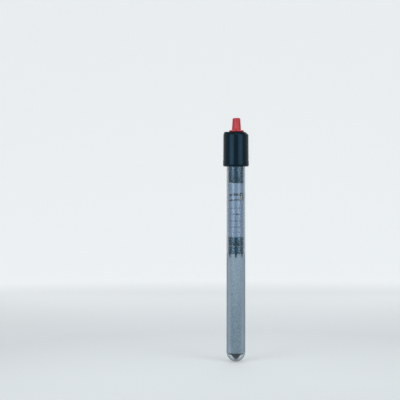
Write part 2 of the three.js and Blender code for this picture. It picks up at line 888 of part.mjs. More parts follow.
// A contact rivet with its face towards the gap and its tail closed over behind the strip that carries it.
function contactRivet(face, seat, back) {
  const away = Math.sign(back - seat);
  const headEnd = seat - away * contactSeat;
  const tailStart = back + away * contactSeat;
  const tailEnd = tailStart + away * 0.35;
  const along = (radius, from, to) =>
    postAlongY(radius, Math.min(from, to), Math.max(from, to), 0, contactZ);
  return join(
    along(contactRadius, face, headEnd),
    along(contactStem, face + away * 0.1, tailEnd - away * 0.1),
    along(contactStem + 0.4, tailStart, tailEnd),
  );
}

// Straight above the line where it starts to bend; a hole clears the rivet that clamps its foot.
function bimetalStrip() {
  const shape = new THREE.Shape();
  const taper = 0.5;
  shape.moveTo(-stripHalfWidth, stripBottom);
  shape.lineTo(stripHalfWidth, stripBottom);
  shape.lineTo(stripHalfWidth, stripHinge + 2);
  shape.lineTo(stripHalfWidth - taper, stripTop - 1);
  shape.lineTo(stripHalfWidth - taper - 1, stripTop);
  shape.lineTo(-stripHalfWidth + taper + 1, stripTop);
  shape.lineTo(-stripHalfWidth + taper, stripTop - 1);
  shape.lineTo(-stripHalfWidth, stripHinge + 2);
  const sheet = new THREE.ExtrudeGeometry(shape, { depth: stripThickness, bevelEnabled: false })
    .rotateX(Math.PI / 2)
    .translate(0, stripBack, 0);
  return cut(
    sheet,
    postAlongY(rivetRadius + fitGap, stripFront - 1, stripBack + 1, 0, bracketRivetZ),
    postAlongY(contactStem + contactSeat, stripFront - 1, stripBack + 1, 0, contactZ),
  );
}

function bimetalBracket() {
  const top = bracketBottom + bracketHeight;
  return cut(
    block(-bracketHalfWidth, bracketHalfWidth, bracketFront, bracketBack, bracketBottom, top),
    postAlongY(rivetRadius + fitGap, bracketFront - 1, bracketBack + 1, 0, bracketRivetZ),
    block(-bracketHalfWidth - 1, -1.2, bracketFront - 1, bracketBack + 1, top - 1.2, top + 1),
    block(1.2, bracketHalfWidth + 1, bracketFront - 1, bracketBack + 1, top - 1.2, top + 1),
  );
}

function throughRivet(front, z) {
  const back = spineBack + fitGap;
  return join(
    postAlongY(rivetHeadRadius, front - rivetHead, front, 0, z),
    postAlongY(rivetRadius, front - rivetHead / 2, back + rivetHead / 2, 0, z),
    postAlongY(rivetHeadRadius, back, back + rivetHead, 0, z),
  );
}

function lampPinPlaces() {
  return [-1, 1].map((side) => [lampX + side * 0.8, lampY]);
}

// A sealed glass bulb with a drawn tip, standing on two pins.
function neonLamp() {
  const bottom = shelfTop + fitGap;
  const top = bottom + lampLength;
  const bulb = turned(
    [
      [0, bottom],
      [lampRadius - 0.5, bottom],
      [lampRadius, bottom + 0.6],
      ...arc(0, top - 1 - lampRadius, lampRadius, 0, 66, 5),
      [0.45, top - 0.7],
      [0.2, top],
      [0, top],
    ],
    16,
  ).translate(lampX, lampY, 0);
  const pins = lampPinPlaces().map(([x, y]) =>
    post(lampPin, shelfTop - shelfThickness - 1.2, bottom + 0.5, x, y, 8),
  );
  return join(bulb, ...pins);
}

// An axial resistor beside the spine's left flange, on wires bent back to the spine.
function lampResistor() {
  const x = -spineHalfWidth + flangeWidth - 0.3;
  const y = spineFront - flangeDepth - fitGap - resistorRadius;
  const bottom = footTop + 12;
  const top = bottom + resistorLength;
  const body = turned(
    [
      [0, bottom],
      [resistorRadius - 0.3, bottom],
      [resistorRadius, bottom + 0.5],
      [resistorRadius, bottom + 1.6],
      [resistorRadius - 0.2, bottom + 2.1],
      [resistorRadius - 0.2, top - 2.1],
      [resistorRadius, top - 1.6],
      [resistorRadius, top - 0.5],
      [resistorRadius - 0.3, top],
      [0, top],
    ],
    14,
  ).translate(x, y, 0);
  const endX = -spineHalfWidth + flangeWidth + 0.9;
  const endY = spineFront - fitGap;
  const leg = (start, way) =>
    wire(
      [
        [x, y, start - way * 0.6],
        [x, y, start + way * 1.4],
        [x + 0.25, y + 0.5, start + way * 2],
        [endX, endY, start + way * 2.4],
      ],
      resistorWire,
      5,
      0.8,
    );
  return join(body, leg(bottom, -1), leg(top, 1));
}

function suppressorCapacitor() {
  const inner = capacitorEdge;
  const bottom = footTop + fitGap;
  const half = capacitorHalfWidth - inner;
  const shape = new THREE.Shape();
  shape.moveTo(-half, 0);
  shape.lineTo(half, 0);
  shape.lineTo(half, capacitorDepth - 2 * inner);
  shape.lineTo(-half, capacitorDepth - 2 * inner);
  const front = -Math.sqrt(insideLabel ** 2 - capacitorHalfWidth ** 2) + 0.4;
  return new THREE.ExtrudeGeometry(shape, {
    depth: capacitorHeight - 2 * inner,
    bevelThickness: inner,
    bevelSize: inner,
    bevelSegments: 2,
  }).translate(0, front + inner, bottom + inner);
}

// Rolled paper, open at the back, with a window for the lamp on its right side.
function labelCard() {
  const sheet = sector(
    labelBore,
    contentRadius,
    labelLeftAngle - 90,
    labelRightAngle - 90,
    labelBottom,
    labelTop,
    44,
  );
  const windowCut = sector(
    labelBore - 1,
    contentRadius + 1,
    windowLeftAngle - 90,
    windowRightAngle - 90,
    headBottom - windowTop - windowHeight,
    headBottom - windowTop,
    10,
  );
  return cut(sheet, windowCut);
}

function leadHoles(bottom, top) {
  return [-1, 1].map((side) =>
    post(leadRadius + fitGap, bottom - 1, top + 1, side * leadHalfSpacing, leadY, 12),
  );
}

function upperInsulator() {
  const edge = insulatorChamfer;
  const body = turned([
    [0, upperBottom],
    [contentRadius - edge, upperBottom],
    [contentRadius, upperBottom + edge],
    [contentRadius, upperTop - edge],
    [contentRadius - edge, upperTop],
    [0, upperTop],
  ]);
  return cut(body, ...leadHoles(upperBottom, upperTop));
}

function micaWasher() {
  const disc = post(contentRadius, washerBottom, washerTop, 0, 0, 40);
  return cut(disc, ...leadHoles(washerBottom, washerTop));
}

// One tapered finger of the lower insulator, or with a margin the room that the sand leaves for it.
function finger(index, margin) {
  const half = fingerWidth / 2 + margin;
  const tip = fingerTip / 2 + margin;
  const shape = new THREE.Shape();
  shape.moveTo(-half, 0.5);
  shape.lineTo(-tip, -fingerLength - margin);
  shape.lineTo(tip, -fingerLength - margin);
  shape.lineTo(half, 0.5);
  const inner = contentRadius - lowerInsulatorWall - margin;
  return new THREE.ExtrudeGeometry(shape, { depth: 4, bevelEnabled: false })
    .rotateX(Math.PI / 2)
    .translate(0, -inner, lowerBottom)
    .rotateZ((index * 2 * Math.PI) / fingerCount);
}

function fingers(margin) {
  return Array.from({ length: fingerCount }, (_, i) => finger(i, margin));
}

// A cup, mouth down, whose rim ends in fingers that stand in the sand.
function lowerInsulator() {
  const edge = insulatorChamfer;
  const bore = contentRadius - lowerInsulatorWall;
  const cup = turned([
    [0, lowerTop - lowerInsulatorRoof],
    [bore, lowerTop - lowerInsulatorRoof],
    [bore, lowerBottom],
    [contentRadius, lowerBottom],
    [contentRadius, lowerTop - edge],
    [contentRadius - edge, lowerTop],
    [0, lowerTop],
  ]);
  const ring = pipe(contentRadius, bore, fingerEnd - 1, lowerBottom + 1);
  const allFingers = common(join(...fingers(0)), ring);
  return cut(join(cup, allFingers), ...leadHoles(lowerTop - lowerInsulatorRoof, lowerTop));
}

// Extruded ceramic with lengthwise flutes and a bore for the return lead.
function ceramicCore() {
  const around = coreFlutes * 4;
  const outline = Array.from({ length: around }, (_, i) => {
    const wave = 0.5 - 0.5 * Math.cos((i / around) * coreFlutes * 2 * Math.PI);
    const [x, y] = polar(coreRadius - coreFluteDepth * wave, (i / around) * 360);
    return new THREE.Vector2(x, y);
  });
  const rod = new THREE.ExtrudeGeometry(new THREE.Shape(outline), {
    depth: coreTop - coreBottom,
    bevelEnabled: false,
  }).translate(0, 0, coreBottom);
  return cut(rod, post(coreBore, coreBottom - 1, coreTop + 1, 0, 0, 12));
}

// Points along the coil's wire: a stub down into the winding, the loops, and a stub down from the last.
function coilRoute(stepsInLoop) {
  const steps = coilLoops * stepsInLoop;
  const helix = Array.from({ length: steps + 1 }, (_, i) => {
    const [x, y] = polar(coilRadius, coilStartAngle - (i * 360) / stepsInLoop);
    return new THREE.Vector3(x, y, coilTop - (i / stepsInLoop) * coilPitch);
  });
  const above = helix[0].clone().setZ(coilTop + coilStub);
  const below = helix[steps].clone().setZ(coilBottom - coilStub);
  const bendAbove = helix[0].clone().setZ(coilTop + 2 * coilWire);
  const bendBelow = helix[steps].clone().setZ(coilBottom - 2 * coilWire);
  return [above, bendAbove, ...helix.slice(1, -1), bendBelow, below];
}

// The narrowest gap that the coil leaves to itself, between points at least half a loop apart.
function leastCoilGap() {
  const points = coilRoute(36);
  let least = Infinity;
  for (let i = 0; i < points.length; i += 1) {
    for (let j = i + 18; j < points.length; j += 1) {
      least = Math.min(least, points[i].distanceTo(points[j]));
    }
  }
  return least - 2 * coilWire;
}

function heatingCoil() {
  console.log("least gap between the heating coil's loops: " + leastCoilGap().toFixed(2) + " mm");
  return swept(coilRoute(10), coilWire, 5);
}

// Packed quartz round the coil: open down the middle, wider at the crimps and shaped round the fingers.
function sandFill() {
  const mouthRadius = coilRadius + crimpBore + crimpWall + fitGap;
  const mouthBottom = coilTop + coilStub - 1 - fitGap;
  const body = turnedRing([
    [fillBore, fillBottom],
    [contentRadius, fillBottom],
    [contentRadius, fillTop],
    [mouthRadius, fillTop],
    [mouthRadius, mouthBottom],
    [fillBore, mouthBottom],
  ]);
  return cut(body, ...fingers(fitGap));
}

// A rubber pad under the sand: its flange keeps the sand in and its tapered boss rests in the dome.
function endPad() {
  const top = fillBottom - fitGap;
  const flangeBottom = top - endPadFlange;
  const flangeRadius = contentRadius - 0.2;
  const bottom = domeBottom + fitGap;
  return turned([
    [0, bottom],
    [endPadTip, bottom],
    [endPadBoss, flangeBottom - 0.4],
    [endPadBoss, flangeBottom],
    [flangeRadius - 0.2, flangeBottom],
    [flangeRadius, top - 0.3],
    [flangeRadius, top],
    [0, top],
  ]);
}

function liveLead() {
  const x = -leadHalfSpacing;
  return wire(
    [
      [glandX - 1.2, glandY, glandBottom - 1.3],
      [x, leadY, stopperTop + 1.2],
      [x, leadY, armRivetZ + 1.2],
      [-rivetHeadRadius - fitGap - leadRadius, leadY, armRivetZ - 1],
    ],
    leadRadius,
  );
}

function neutralLead() {
  const x = leadHalfSpacing;
  const roof = lowerTop - lowerInsulatorRoof;
  return wire(
    [
      [glandX + 1.2, glandY, glandBottom - 1.3],
      [glandX + 1.4, glandY - 0.3, stopperTop + 2.2],
      [x, leadY, stopperTop + 1.2],
      [x, leadY, roof - 1],
      [0, 0, coreTop + crimpLength + 1.2],
      [0, 0, coreTop + crimpLength - 1.2],
    ],
    leadRadius,
  );
}

function loadLead() {
  const x = -leadHalfSpacing;
  const roof = lowerTop - lowerInsulatorRoof;
  return wire(
    [
      [-rivetHeadRadius - fitGap - leadRadius, leadY, bracketRivetZ + 1],
      [x, leadY, bracketRivetZ - 1.2],
      [x, leadY, roof - 1],
      [stubX, stubY, roof - 3],
      [stubX, stubY, coilTop + coilStub + 0.5],
    ],
    leadRadius,
  );
}

// Bare wire up through the core's bore from the coil's lower end.
function returnLead() {
  const [x, y] = polar(coilRadius, coilStartAngle - coilLoops * 360);
  const under = coilBottom - coilStub - returnRadius - fitGap;
  return wire(
    [
      [0, 0, coreTop + 1],
      [0, 0, under],
      [x, y, under],
    ],
    returnRadius,
  );
}

function crimp(bottom) {
  return pipe(crimpBore + crimpWall, crimpBore, bottom, bottom + crimpLength, 16);
}

addPiece("glass_tube", glassTube(), finishes.glass);
addPiece("tube_seal", tubeSeal(), finishes.rubber);
addPiece("cap_shell", capShell(), finishes.capBlack);
addPiece("cord_gland", cordGland(), finishes.rubber);
addPiece("stopper", stopper(), finishes.rubber);

addPiece("knob", knob(), finishes.dialRed, dial);
addPiece("spindle", spindle(), finishes.brass, dial);
addPiece("o_ring_lower", sealingRing(ringHeights()[0]), finishes.rubber, dial);
addPiece("o_ring_upper", sealingRing(ringHeights()[1]), finishes.rubber, dial);
addPiece("retaining_clip", retainingClip(), finishes.steel, dial);
addPiece("setting_screw", settingScrew(), finishes.brass, dial);
addPiece("spindle_bush", spindleBush(), finishes.brass, dial);

addPiece("thermostat_carrier", thermostatCarrier(), finishes.phenolic);
addPiece("setting_nut", settingNut(), finishes.brass);
addPiece("contact_arm", contactArm(), finishes.copper);
addPiece("fixed_contact", contactRivet(armBack + contactHeight, armBack, armFront), finishes.silver);
addPiece("magnet", magnet(), finishes.ferrite);
addPiece("arm_rivet", throughRivet(spineFront - fitGap - armThickness - fitGap, armRivetZ), finishes.brass);
addPiece("bimetal_strip", bimetalStrip(), finishes.steel);
addPiece("moving_contact", contactRivet(stripFront - contactHeight, stripFront, stripBack), finishes.silver);
addPiece("bimetal_bracket", bimetalBracket(), finishes.brass);
addPiece("bracket_rivet", throughRivet(stripFront - fitGap, bracketRivetZ), finishes.brass);
addPiece("neon_lamp", neonLamp(), finishes.lampGlass);
addPiece("lamp_resistor", lampResistor(), finishes.resistor);
addPiece("suppressor_capacitor", suppressorCapacitor(), finishes.capacitor);
addPiece("label_card", labelCard(), finishes.paper);

addPiece("upper_insulator", upperInsulator(), finishes.phenolic);
addPiece("mica_washer", micaWasher(), finishes.mica);
addPiece("lower_insulator", lowerInsulator(), finishes.phenolic);
addPiece("ceramic_core", ceramicCore(), finishes.ceramic);
addPiece("heating_coil", heatingCoil(), finishes.steel);
addPiece("sand_fill", sandFill(), finishes.sand);
addPiece("end_pad", endPad(), finishes.rubber);
addPiece("return_lead", returnLead(), finishes.steel);
addPiece("return_crimp", crimp(coreTop + 0.3), finishes.steel);
addPiece("coil_crimp", crimp(coilTop + coilStub - 1), finishes.steel, heater, [stubX, stubY, 0]);
addPiece("live_lead", liveLead(), finishes.sleeving);
addPiece("neutral_lead", neutralLead(), finishes.sleeving);
addPiece("load_lead", loadLead(), finishes.sleeving);

export default heater;
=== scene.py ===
import math
from functools import partial
import bmesh
import bpy
from mathutils import Matrix, Vector


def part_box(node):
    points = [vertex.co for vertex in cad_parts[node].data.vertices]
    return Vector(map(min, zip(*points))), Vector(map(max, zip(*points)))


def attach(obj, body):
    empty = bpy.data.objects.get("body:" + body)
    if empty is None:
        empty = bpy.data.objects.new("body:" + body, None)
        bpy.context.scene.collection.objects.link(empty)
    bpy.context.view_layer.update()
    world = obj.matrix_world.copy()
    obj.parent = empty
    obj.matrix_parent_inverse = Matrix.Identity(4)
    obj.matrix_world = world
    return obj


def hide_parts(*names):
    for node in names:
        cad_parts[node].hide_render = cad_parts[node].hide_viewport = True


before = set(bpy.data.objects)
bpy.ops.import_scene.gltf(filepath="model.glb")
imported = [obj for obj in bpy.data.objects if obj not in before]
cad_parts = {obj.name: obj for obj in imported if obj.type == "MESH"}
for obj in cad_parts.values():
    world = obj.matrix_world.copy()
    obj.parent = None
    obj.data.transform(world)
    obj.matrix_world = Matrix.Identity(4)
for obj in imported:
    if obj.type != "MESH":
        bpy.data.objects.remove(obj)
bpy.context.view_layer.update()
scene = bpy.context.scene
mm = 0.001
fullTurn = 6.2832
print("frame loaded:", len(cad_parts), "nodes")


# Everything is built in millimetres and turned to metres when it becomes a piece.
def boxOf(node):
    lowest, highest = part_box(node)
    return lowest * 1000, highest * 1000


def polar(radius, degrees):
    angle = math.radians(degrees)
    return radius * math.cos(angle), radius * math.sin(angle)


def spread(start, end, steps):
    return [start + (end - start) * i / steps for i in range(steps + 1)]


def arc(centreR, centreZ, radius, start, end, steps):
    points = [polar(radius, angle) for angle in spread(start, end, steps)]
    return [(centreR + r, centreZ + z) for r, z in points]


# The shape helpers return a bmesh in millimetres. This one joins rows of points, each a loop, into a skin.
def grid(points, closedAlong=False):
    bm = bmesh.new()
    rows = [[bm.verts.new(point) for point in row] for row in points]
    count = len(rows[0])
    for i in range(len(rows) if closedAlong else len(rows) - 1):
        here, there = rows[i], rows[(i + 1) % len(rows)]
        for j in range(count):
            k = (j + 1) % count
            bm.faces.new((here[j], here[k], there[k], there[j]))
    bmesh.ops.remove_doubles(bm, verts=bm.verts, dist=1e-5)
    bmesh.ops.recalc_face_normals(bm, faces=bm.faces)
    return bm


def capped(points):
    bm = grid(points)
    bmesh.ops.holes_fill(bm, edges=bm.edges)
    bmesh.ops.recalc_face_normals(bm, faces=bm.faces)
    return bm


# A profile of radii and heights turned about the Z axis through x and y; a ring's profile is a loop.
def turned(profile, steps=96, x=0, y=0, ring=False, radiusAt=None):
    rows = []
    for r, z in profile:
        row = []
        for j in range(steps):
            around = 360 * j / steps
            px, py = polar(radiusAt(r, z, around) if radiusAt else r, around)
            row.append((x + px, y + py, z))
        rows.append(row)
    return grid(rows, closedAlong=ring)


def rod(radius, bottom, top, x=0, y=0, steps=48, edge=0.0):
    side = [(radius, bottom), (radius, top)]
    if edge:
        side = [(radius - edge, bottom), (radius, bottom + edge), (radius, top - edge), (radius - edge, top)]
    return turned([(0, bottom), *side, (0, top)], steps, x, y)


# Lays a shape that stands on the Z axis along Y, at a height.
def laid(bm, z):
    bmesh.ops.rotate(bm, verts=bm.verts, matrix=Matrix.Rotation(math.radians(-90), 3, "X"))
    bmesh.ops.translate(bm, verts=bm.verts, vec=(0, 0, z))
    return bm


def swung(bm, degrees, x=0, y=0):
    turn = Matrix.Rotation(math.radians(degrees), 3, "Z")
    bmesh.ops.rotate(bm, verts=bm.verts, cent=(x, y, 0), matrix=turn)
    return bm


def block(x0, x1, y0, y1, z0, z1):
    bm = bmesh.new()
    bmesh.ops.create_cube(bm, size=1)
    bmesh.ops.scale(bm, verts=bm.verts, vec=(x1 - x0, y1 - y0, z1 - z0))
    bmesh.ops.translate(bm, verts=bm.verts, vec=((x0 + x1) / 2, (y0 + y1) / 2, (z0 + z1) / 2))
    return bm


def hull(corners):
    bm = bmesh.new()
    for corner in corners:
        bm.verts.new(corner)
    bmesh.ops.convex_hull(bm, input=bm.verts)
    bmesh.ops.recalc_face_normals(bm, faces=bm.faces)
    return bm


def sector(inner, outer, start, end, bottom, top, steps, x, y):
    rows = []
    for around in spread(start, end, steps):
        (ix, iy), (ox, oy) = polar(inner, around), polar(outer, around)
        corners = [(ix, iy, bottom), (ox, oy, bottom), (ox, oy, top), (ix, iy, top)]
        rows.append([(x + px, y + py, z) for px, py, z in corners])
    return capped(rows)


def meshFrom(bm, name="work"):
    mesh = bpy.data.meshes.new(name)
    bm.to_mesh(mesh)
    bm.free()
    return mesh


def metreMesh(bm, name):
    mesh = meshFrom(bm, name)
    mesh.transform(Matrix.Scale(mm, 4))
    return mesh


def linked(name, data):
    made = bpy.data.objects.new(name, data)
    scene.collection.objects.link(made)
    return made


def evaluated(made):
    return bpy.data.meshes.new_from_object(made.evaluated_get(bpy.context.evaluated_depsgraph_get()))


# Booleans on closed shapes.
def combined(base, add=(), cut=(), keep=()):
    body = linked("work", meshFrom(base))
    helpers = [body]
    for operation, shapes in (("UNION", add), ("INTERSECT", keep), ("DIFFERENCE", cut)):
        for shape in shapes:
            tool = linked("tool", meshFrom(shape))
            helpers.append(tool)
            modifier = body.modifiers.new("join", "BOOLEAN")
            modifier.operation, modifier.object, modifier.solver = operation, tool, "MANIFOLD"
    result = evaluated(body)
    bm = bmesh.new()
    bm.from_mesh(result)
    bpy.data.meshes.remove(result)
    for helper in helpers:
        mesh = helper.data
        bpy.data.objects.remove(helper)
        bpy.data.meshes.remove(mesh)
    return bm


# Several shapes in one mesh, each still whole.
def together(shapes):
    whole = bmesh.new()
    for shape in shapes:
        mesh = meshFrom(shape)
        whole.from_mesh(mesh)
        bpy.data.meshes.remove(mesh)
    return whole


# The finishes by name.
finishes = {}


# Gives a finished piece what it is made of and what it moves with, and hides the CAD node that it stands for.
def settle(made, finish, node, body, smoothAngle):
    made.data.materials.clear()
    made.data.materials.append(finishes[finish])
    made.data.shade_smooth()
    made.data.set_sharp_from_angle(angle=math.radians(smoothAngle))
    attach(made, body)
    if node:
        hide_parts(node)


def piece(name, bm, finish, node=None, body="heater", smoothAngle=32):
    settle(linked(name, metreMesh(bm, name)), finish, node, body, smoothAngle)


# A piece that a geometry tree grows on a mesh in metres; it keeps the plain result.
def grownPiece(name, base, tree, finish, node=None, body="heater", smoothAngle=32, **values):
    made = linked(name, base)
    modifier = made.modifiers.new("grow", "NODES")
    modifier.node_group = tree
    values["Material"] = finishes[finish]
    for item in tree.interface.items_tree:
        if item.in_out == "INPUT" and item.name in values:
            modifier[item.identifier] = values[item.name]
    mesh = evaluated(made)
    made.modifiers.clear()
    made.data = mesh
    mesh.name = name
    settle(made, finish, node, body, smoothAngle)


def addNode(tree, kind, values=None, **settings):
    made = tree.nodes.new(kind)
    for key, value in settings.items():
        setattr(made, key, value)
    for key, value in (values or {}).items():
        if isinstance(value, bpy.types.NodeSocket):
            tree.links.new(value, made.inputs[key])
        else:
            made.inputs[key].default_value = value
    return made


def shade(tree, kind, values=None, **settings):
    return addNode(tree, "ShaderNode" + kind, values, **settings).outputs


# The helpers below put a node in the tree of the value that they are given.
def calc(operation, a, b=0.0, clamp=False):
    tree = (b if isinstance(b, bpy.types.NodeSocket) else a).id_data
    return shade(tree, "Math", {0: a, 1: b}, operation=operation, use_clamp=clamp)[0]


times = partial(calc, "MULTIPLY")
over = partial(calc, "DIVIDE")
plus = partial(calc, "ADD")
minus = partial(calc, "SUBTRACT")
larger = partial(calc, "MAXIMUM")


def apart(a, b):
    return calc("ABSOLUTE", minus(a, b))


def mix(factor, a, b):
    return shade(factor.id_data, "Mix", {0: factor, 6: a, 7: b}, data_type="RGBA")[2]


def ramp(value, low, high, outLow=0.0, outHigh=1.0, smooth=False):
    values = {0: value, 1: low, 2: high, 3: outLow, 4: outHigh}
    kind = "SMOOTHSTEP" if smooth else "LINEAR"
    return shade(value.id_data, "MapRange", values, interpolation_type=kind)[0]


def stretched(vector, factors):
    values = {0: vector, 1: factors}
    return shade(vector.id_data, "VectorMath", values, operation="MULTIPLY")[0]


def axisOf(vector, axis):
    return shade(vector.id_data, "SeparateXYZ", {0: vector})[axis]


def awayFromAxis(vector):
    flat = stretched(vector, (1, 1, 0))
    return shade(vector.id_data, "VectorMath", {0: flat}, operation="LENGTH")["Value"]


def noise(vector, scale, detail, distortion=0.0):
    values = {"Vector": vector, "Scale": scale, "Detail": detail, "Distortion": distortion}
    return shade(vector.id_data, "TexNoise", values)["Fac"]


def millimetres(tree):
    coords = shade(tree, "TexCoord")["Object"]
    return shade(tree, "VectorMath", {0: coords, "Scale": 1000.0}, operation="SCALE")[0]


# A node group with number inputs; build gives its outputs by name.
def shaderGroup(name, build, **inputs):
    tree = bpy.data.node_groups.new(name, "ShaderNodeTree")
    for label, value in inputs.items():
        socket = tree.interface.new_socket(label, in_out="INPUT", socket_type="NodeSocketFloat")
        socket.default_value = value
    results = build(tree, tree.nodes.new("NodeGroupInput").outputs)
    for label in results:
        tree.interface.new_socket(label, in_out="OUTPUT", socket_type="NodeSocketFloat")
    end = tree.nodes.new("NodeGroupOutput").inputs
    for label, value in results.items():
        tree.links.new(value, end[label])
    return tree


def useGroup(tree, group, **values):
    return shade(tree, "Group", values, node_tree=group)


# Fine grain of a moulded, cast or sintered face, and slow patches of tone.
def buildGrain(tree, given):
    place = millimetres(tree)
    fine = noise(place, over(1.0, given["Size"]), 4.0)
    slow = noise(place, over(1.0, given["Patch"]), 3.0, 0.4)
    return {"Height": fine, "Tone": ramp(slow, 0.3, 0.7)}


# Mask of the outer edges, broken up as handling breaks them.
def buildEdgeWear(tree, given):
    soft = shade(tree, "Bevel", {"Radius": times(given["Width"], mm)}, samples=4)[0]
    normal = shade(tree, "NewGeometry")["Normal"]
    same = shade(tree, "VectorMath", {0: soft, 1: normal}, operation="DOT_PRODUCT")["Value"]
    edge = ramp(minus(1.0, same), 0.01, 0.12)
    broken = ramp(noise(millimetres(tree), 1.3, 5.0), 0.38, 0.66)
    return {"Mask": times(times(edge, broken), given["Amount"], True)}


# Thin crossing hairlines.
def buildHairlines(tree, given):
    place = millimetres(tree)
    scale = over(1.0, given["Spacing"])
    lines = []
    for turn, stretch in ((0.5, 14.0), (-0.8, 20.0), (1.4, 9.0)):
        values = {"Vector": place, "Rotation": (turn * 0.6, turn, turn)}
        leaning = shade(tree, "Mapping", values)[0]
        lines.append(ramp(noise(stretched(leaning, (stretch, stretch, 0.35)), scale, 1.0), 0.66, 0.74))
    return {"Mask": times(larger(larger(lines[0], lines[1]), lines[2]), given["Amount"], True)}


# Dust that lies on what faces up.
def buildDust(tree, given):
    up = axisOf(shade(tree, "NewGeometry")["Normal"], "Z")
    patches = ramp(noise(millimetres(tree), 0.5, 6.0), 0.35, 0.75)
    return {"Mask": times(times(ramp(up, 0.2, 1.0), patches), given["Amount"], True)}


# Fine rings left by a lathe, or the drawing lines of wire and rod.
def buildToolLines(tree, given):
    place = millimetres(tree)
    shifted = plus(axisOf(place, "Z"), times(noise(place, 0.8, 2.0), given["Wander"]))
    wave = calc("SINE", over(times(shifted, fullTurn), given["Pitch"]))
    coarse = noise(stretched(place, (0.3, 0.3, 6.0)), 1.0, 4.0)
    return {"Height": plus(times(wave, 0.5), coarse), "Tone": ramp(coarse, 0.3, 0.7)}


# Lengthwise streaks of rolled sheet, paper and split mica.
def buildFibres(tree, given):
    across, along = (over(1.0, given[label]) for label in ("Width", "Length"))
    scale = shade(tree, "CombineXYZ", {0: across, 1: across, 2: along})[0]
    drawn = stretched(millimetres(tree), scale)
    return {"Height": noise(drawn, 1.0, 3.0), "Tone": ramp(noise(drawn, 0.35, 3.0), 0.3, 0.7)}


fineGrain = shaderGroup("fineGrain", buildGrain, Size=0.3, Patch=6.0)
edgeWear = shaderGroup("edgeWear", buildEdgeWear, Width=0.2, Amount=0.5)
hairlines = shaderGroup("hairlines", buildHairlines, Spacing=1.0, Amount=0.5)
settledDust = shaderGroup("settledDust", buildDust, Amount=0.3)
toolLines = shaderGroup("toolLines", buildToolLines, Pitch=0.15, Wander=0.4)
fibres = shaderGroup("fibres", buildFibres, Width=0.12, Length=3.0)


# An empty finish with its Principled shader; plain sockets are set here and stay unlinked.
def newMaterial(name, plain=None):
    material = bpy.data.materials.new(name)
    material.use_nodes = True
    tree = material.node_tree
    tree.nodes.clear()
    shader = addNode(tree, "ShaderNodeBsdfPrincipled", plain)
    addNode(tree, "ShaderNodeOutputMaterial", {"Surface": shader.outputs[0]})
    finishes[name] = material
    return tree, shader


def rgba(colour, level=1.0):
    return (colour[0] * level, colour[1] * level, colour[2] * level, 1.0)


# Gives a shader its colour, its roughness and a relief whose depth is in millimetres.
def dress(shader, colour, rough, height, depth):
    tree = colour.id_data
    relief = shade(tree, "Bump", {"Height": height, "Distance": depth * mm, "Strength": 1.0})[0]
    for label, value in (("Base Color", colour), ("Roughness", rough), ("Normal", relief)):
        if value is not None:
            tree.links.new(value, shader.inputs[label])


# Plastics, rubber and ceramics: grain, patches of tone, worn edges, hairlines and a little dust.
def moulded(name, look):
    look = {"vary": 0.8, "speckle": 0.15, "wear": 0.35, "dust": 0.08, "scratch": 0.3, **look}
    tree, shader = newMaterial(name, look.get("sockets"))
    grain = useGroup(tree, fineGrain, Size=look["grain"], Patch=6.0)
    colour = mix(grain["Tone"], rgba(look["colour"]), rgba(look["colour"], look["vary"]))
    speckle = times(ramp(grain["Height"], 0.35, 0.7), look["speckle"])
    colour = mix(speckle, colour, rgba(look["worn"]))
    wear = useGroup(tree, edgeWear, Width=0.25, Amount=look["wear"])["Mask"]
    colour = mix(wear, colour, rgba(look["worn"]))
    dust = useGroup(tree, settledDust, Amount=look["dust"])["Mask"]
    colour = mix(dust, colour, (0.45, 0.44, 0.42, 1))
    lines = useGroup(tree, hairlines, Spacing=1.2, Amount=look["scratch"])["Mask"]
    rough = plus(ramp(grain["Tone"], 0, 1, *look["rough"]), times(larger(lines, dust), 0.2), True)
    dress(shader, colour, rough, minus(grain["Height"], times(lines, 0.6)), look["depth"])


# Turned, drawn or rolled metal with tarnish in patches.
def metal(name, look):
    tree, shader = newMaterial(name, {"Metallic": 1.0})
    group, inputs = look["lines"]
    lines = useGroup(tree, group, **inputs)
    grain = useGroup(tree, fineGrain, Size=0.25, Patch=look.get("patch", 2.5))
    colour = mix(lines["Tone"], rgba(look["colour"]), rgba(look["colour"], 0.8))
    colour = mix(times(grain["Tone"], look["tarnish"]), colour, rgba(look["dull"]))
    wear = useGroup(tree, edgeWear, Width=0.15, Amount=0.6)["Mask"]
    colour = mix(wear, colour, rgba(look["bright"]))
    rough = plus(ramp(grain["Tone"], 0, 1, *look["rough"]), times(lines["Height"], 0.06), True)
    dress(shader, colour, rough, lines["Height"], look["depth"])


# Glass that lets the lamps through to what it covers, tinted where it is looked through at a slant.
def clearGlass(name, tint, slantTint, roughness):
    tree, shader = newMaterial(name, {
        "Roughness": roughness, "IOR": 1.47, "Transmission Weight": 1.0, "Specular Tint": (0.3, 0.45, 0.58, 1),
    })
    slant = shade(tree, "LayerWeight", {"Blend": 0.5})["Facing"]
    colour = mix(ramp(slant, 0.22, 0.72, smooth=True), rgba(tint), rgba(slantTint))
    waves = noise(stretched(millimetres(tree), (0.3, 0.3, 0.05)), 1.0, 2.0)
    dress(shader, colour, None, waves, 0.005)
    path = shade(tree, "LightPath")
    mirrored = minus(path["Is Glossy Ray"], path["Is Transmission Ray"], True)
    clear = larger(mirrored, larger(path["Is Shadow Ray"], path["Is Diffuse Ray"]))
    through = shade(tree, "BsdfTransparent", {"Color": colour})[0]
    mixed = addNode(tree, "ShaderNodeMixShader", {0: clear, 1: shader.outputs[0], 2: through})
    tree.links.new(mixed.outputs[0], tree.nodes["Material Output"].inputs["Surface"])


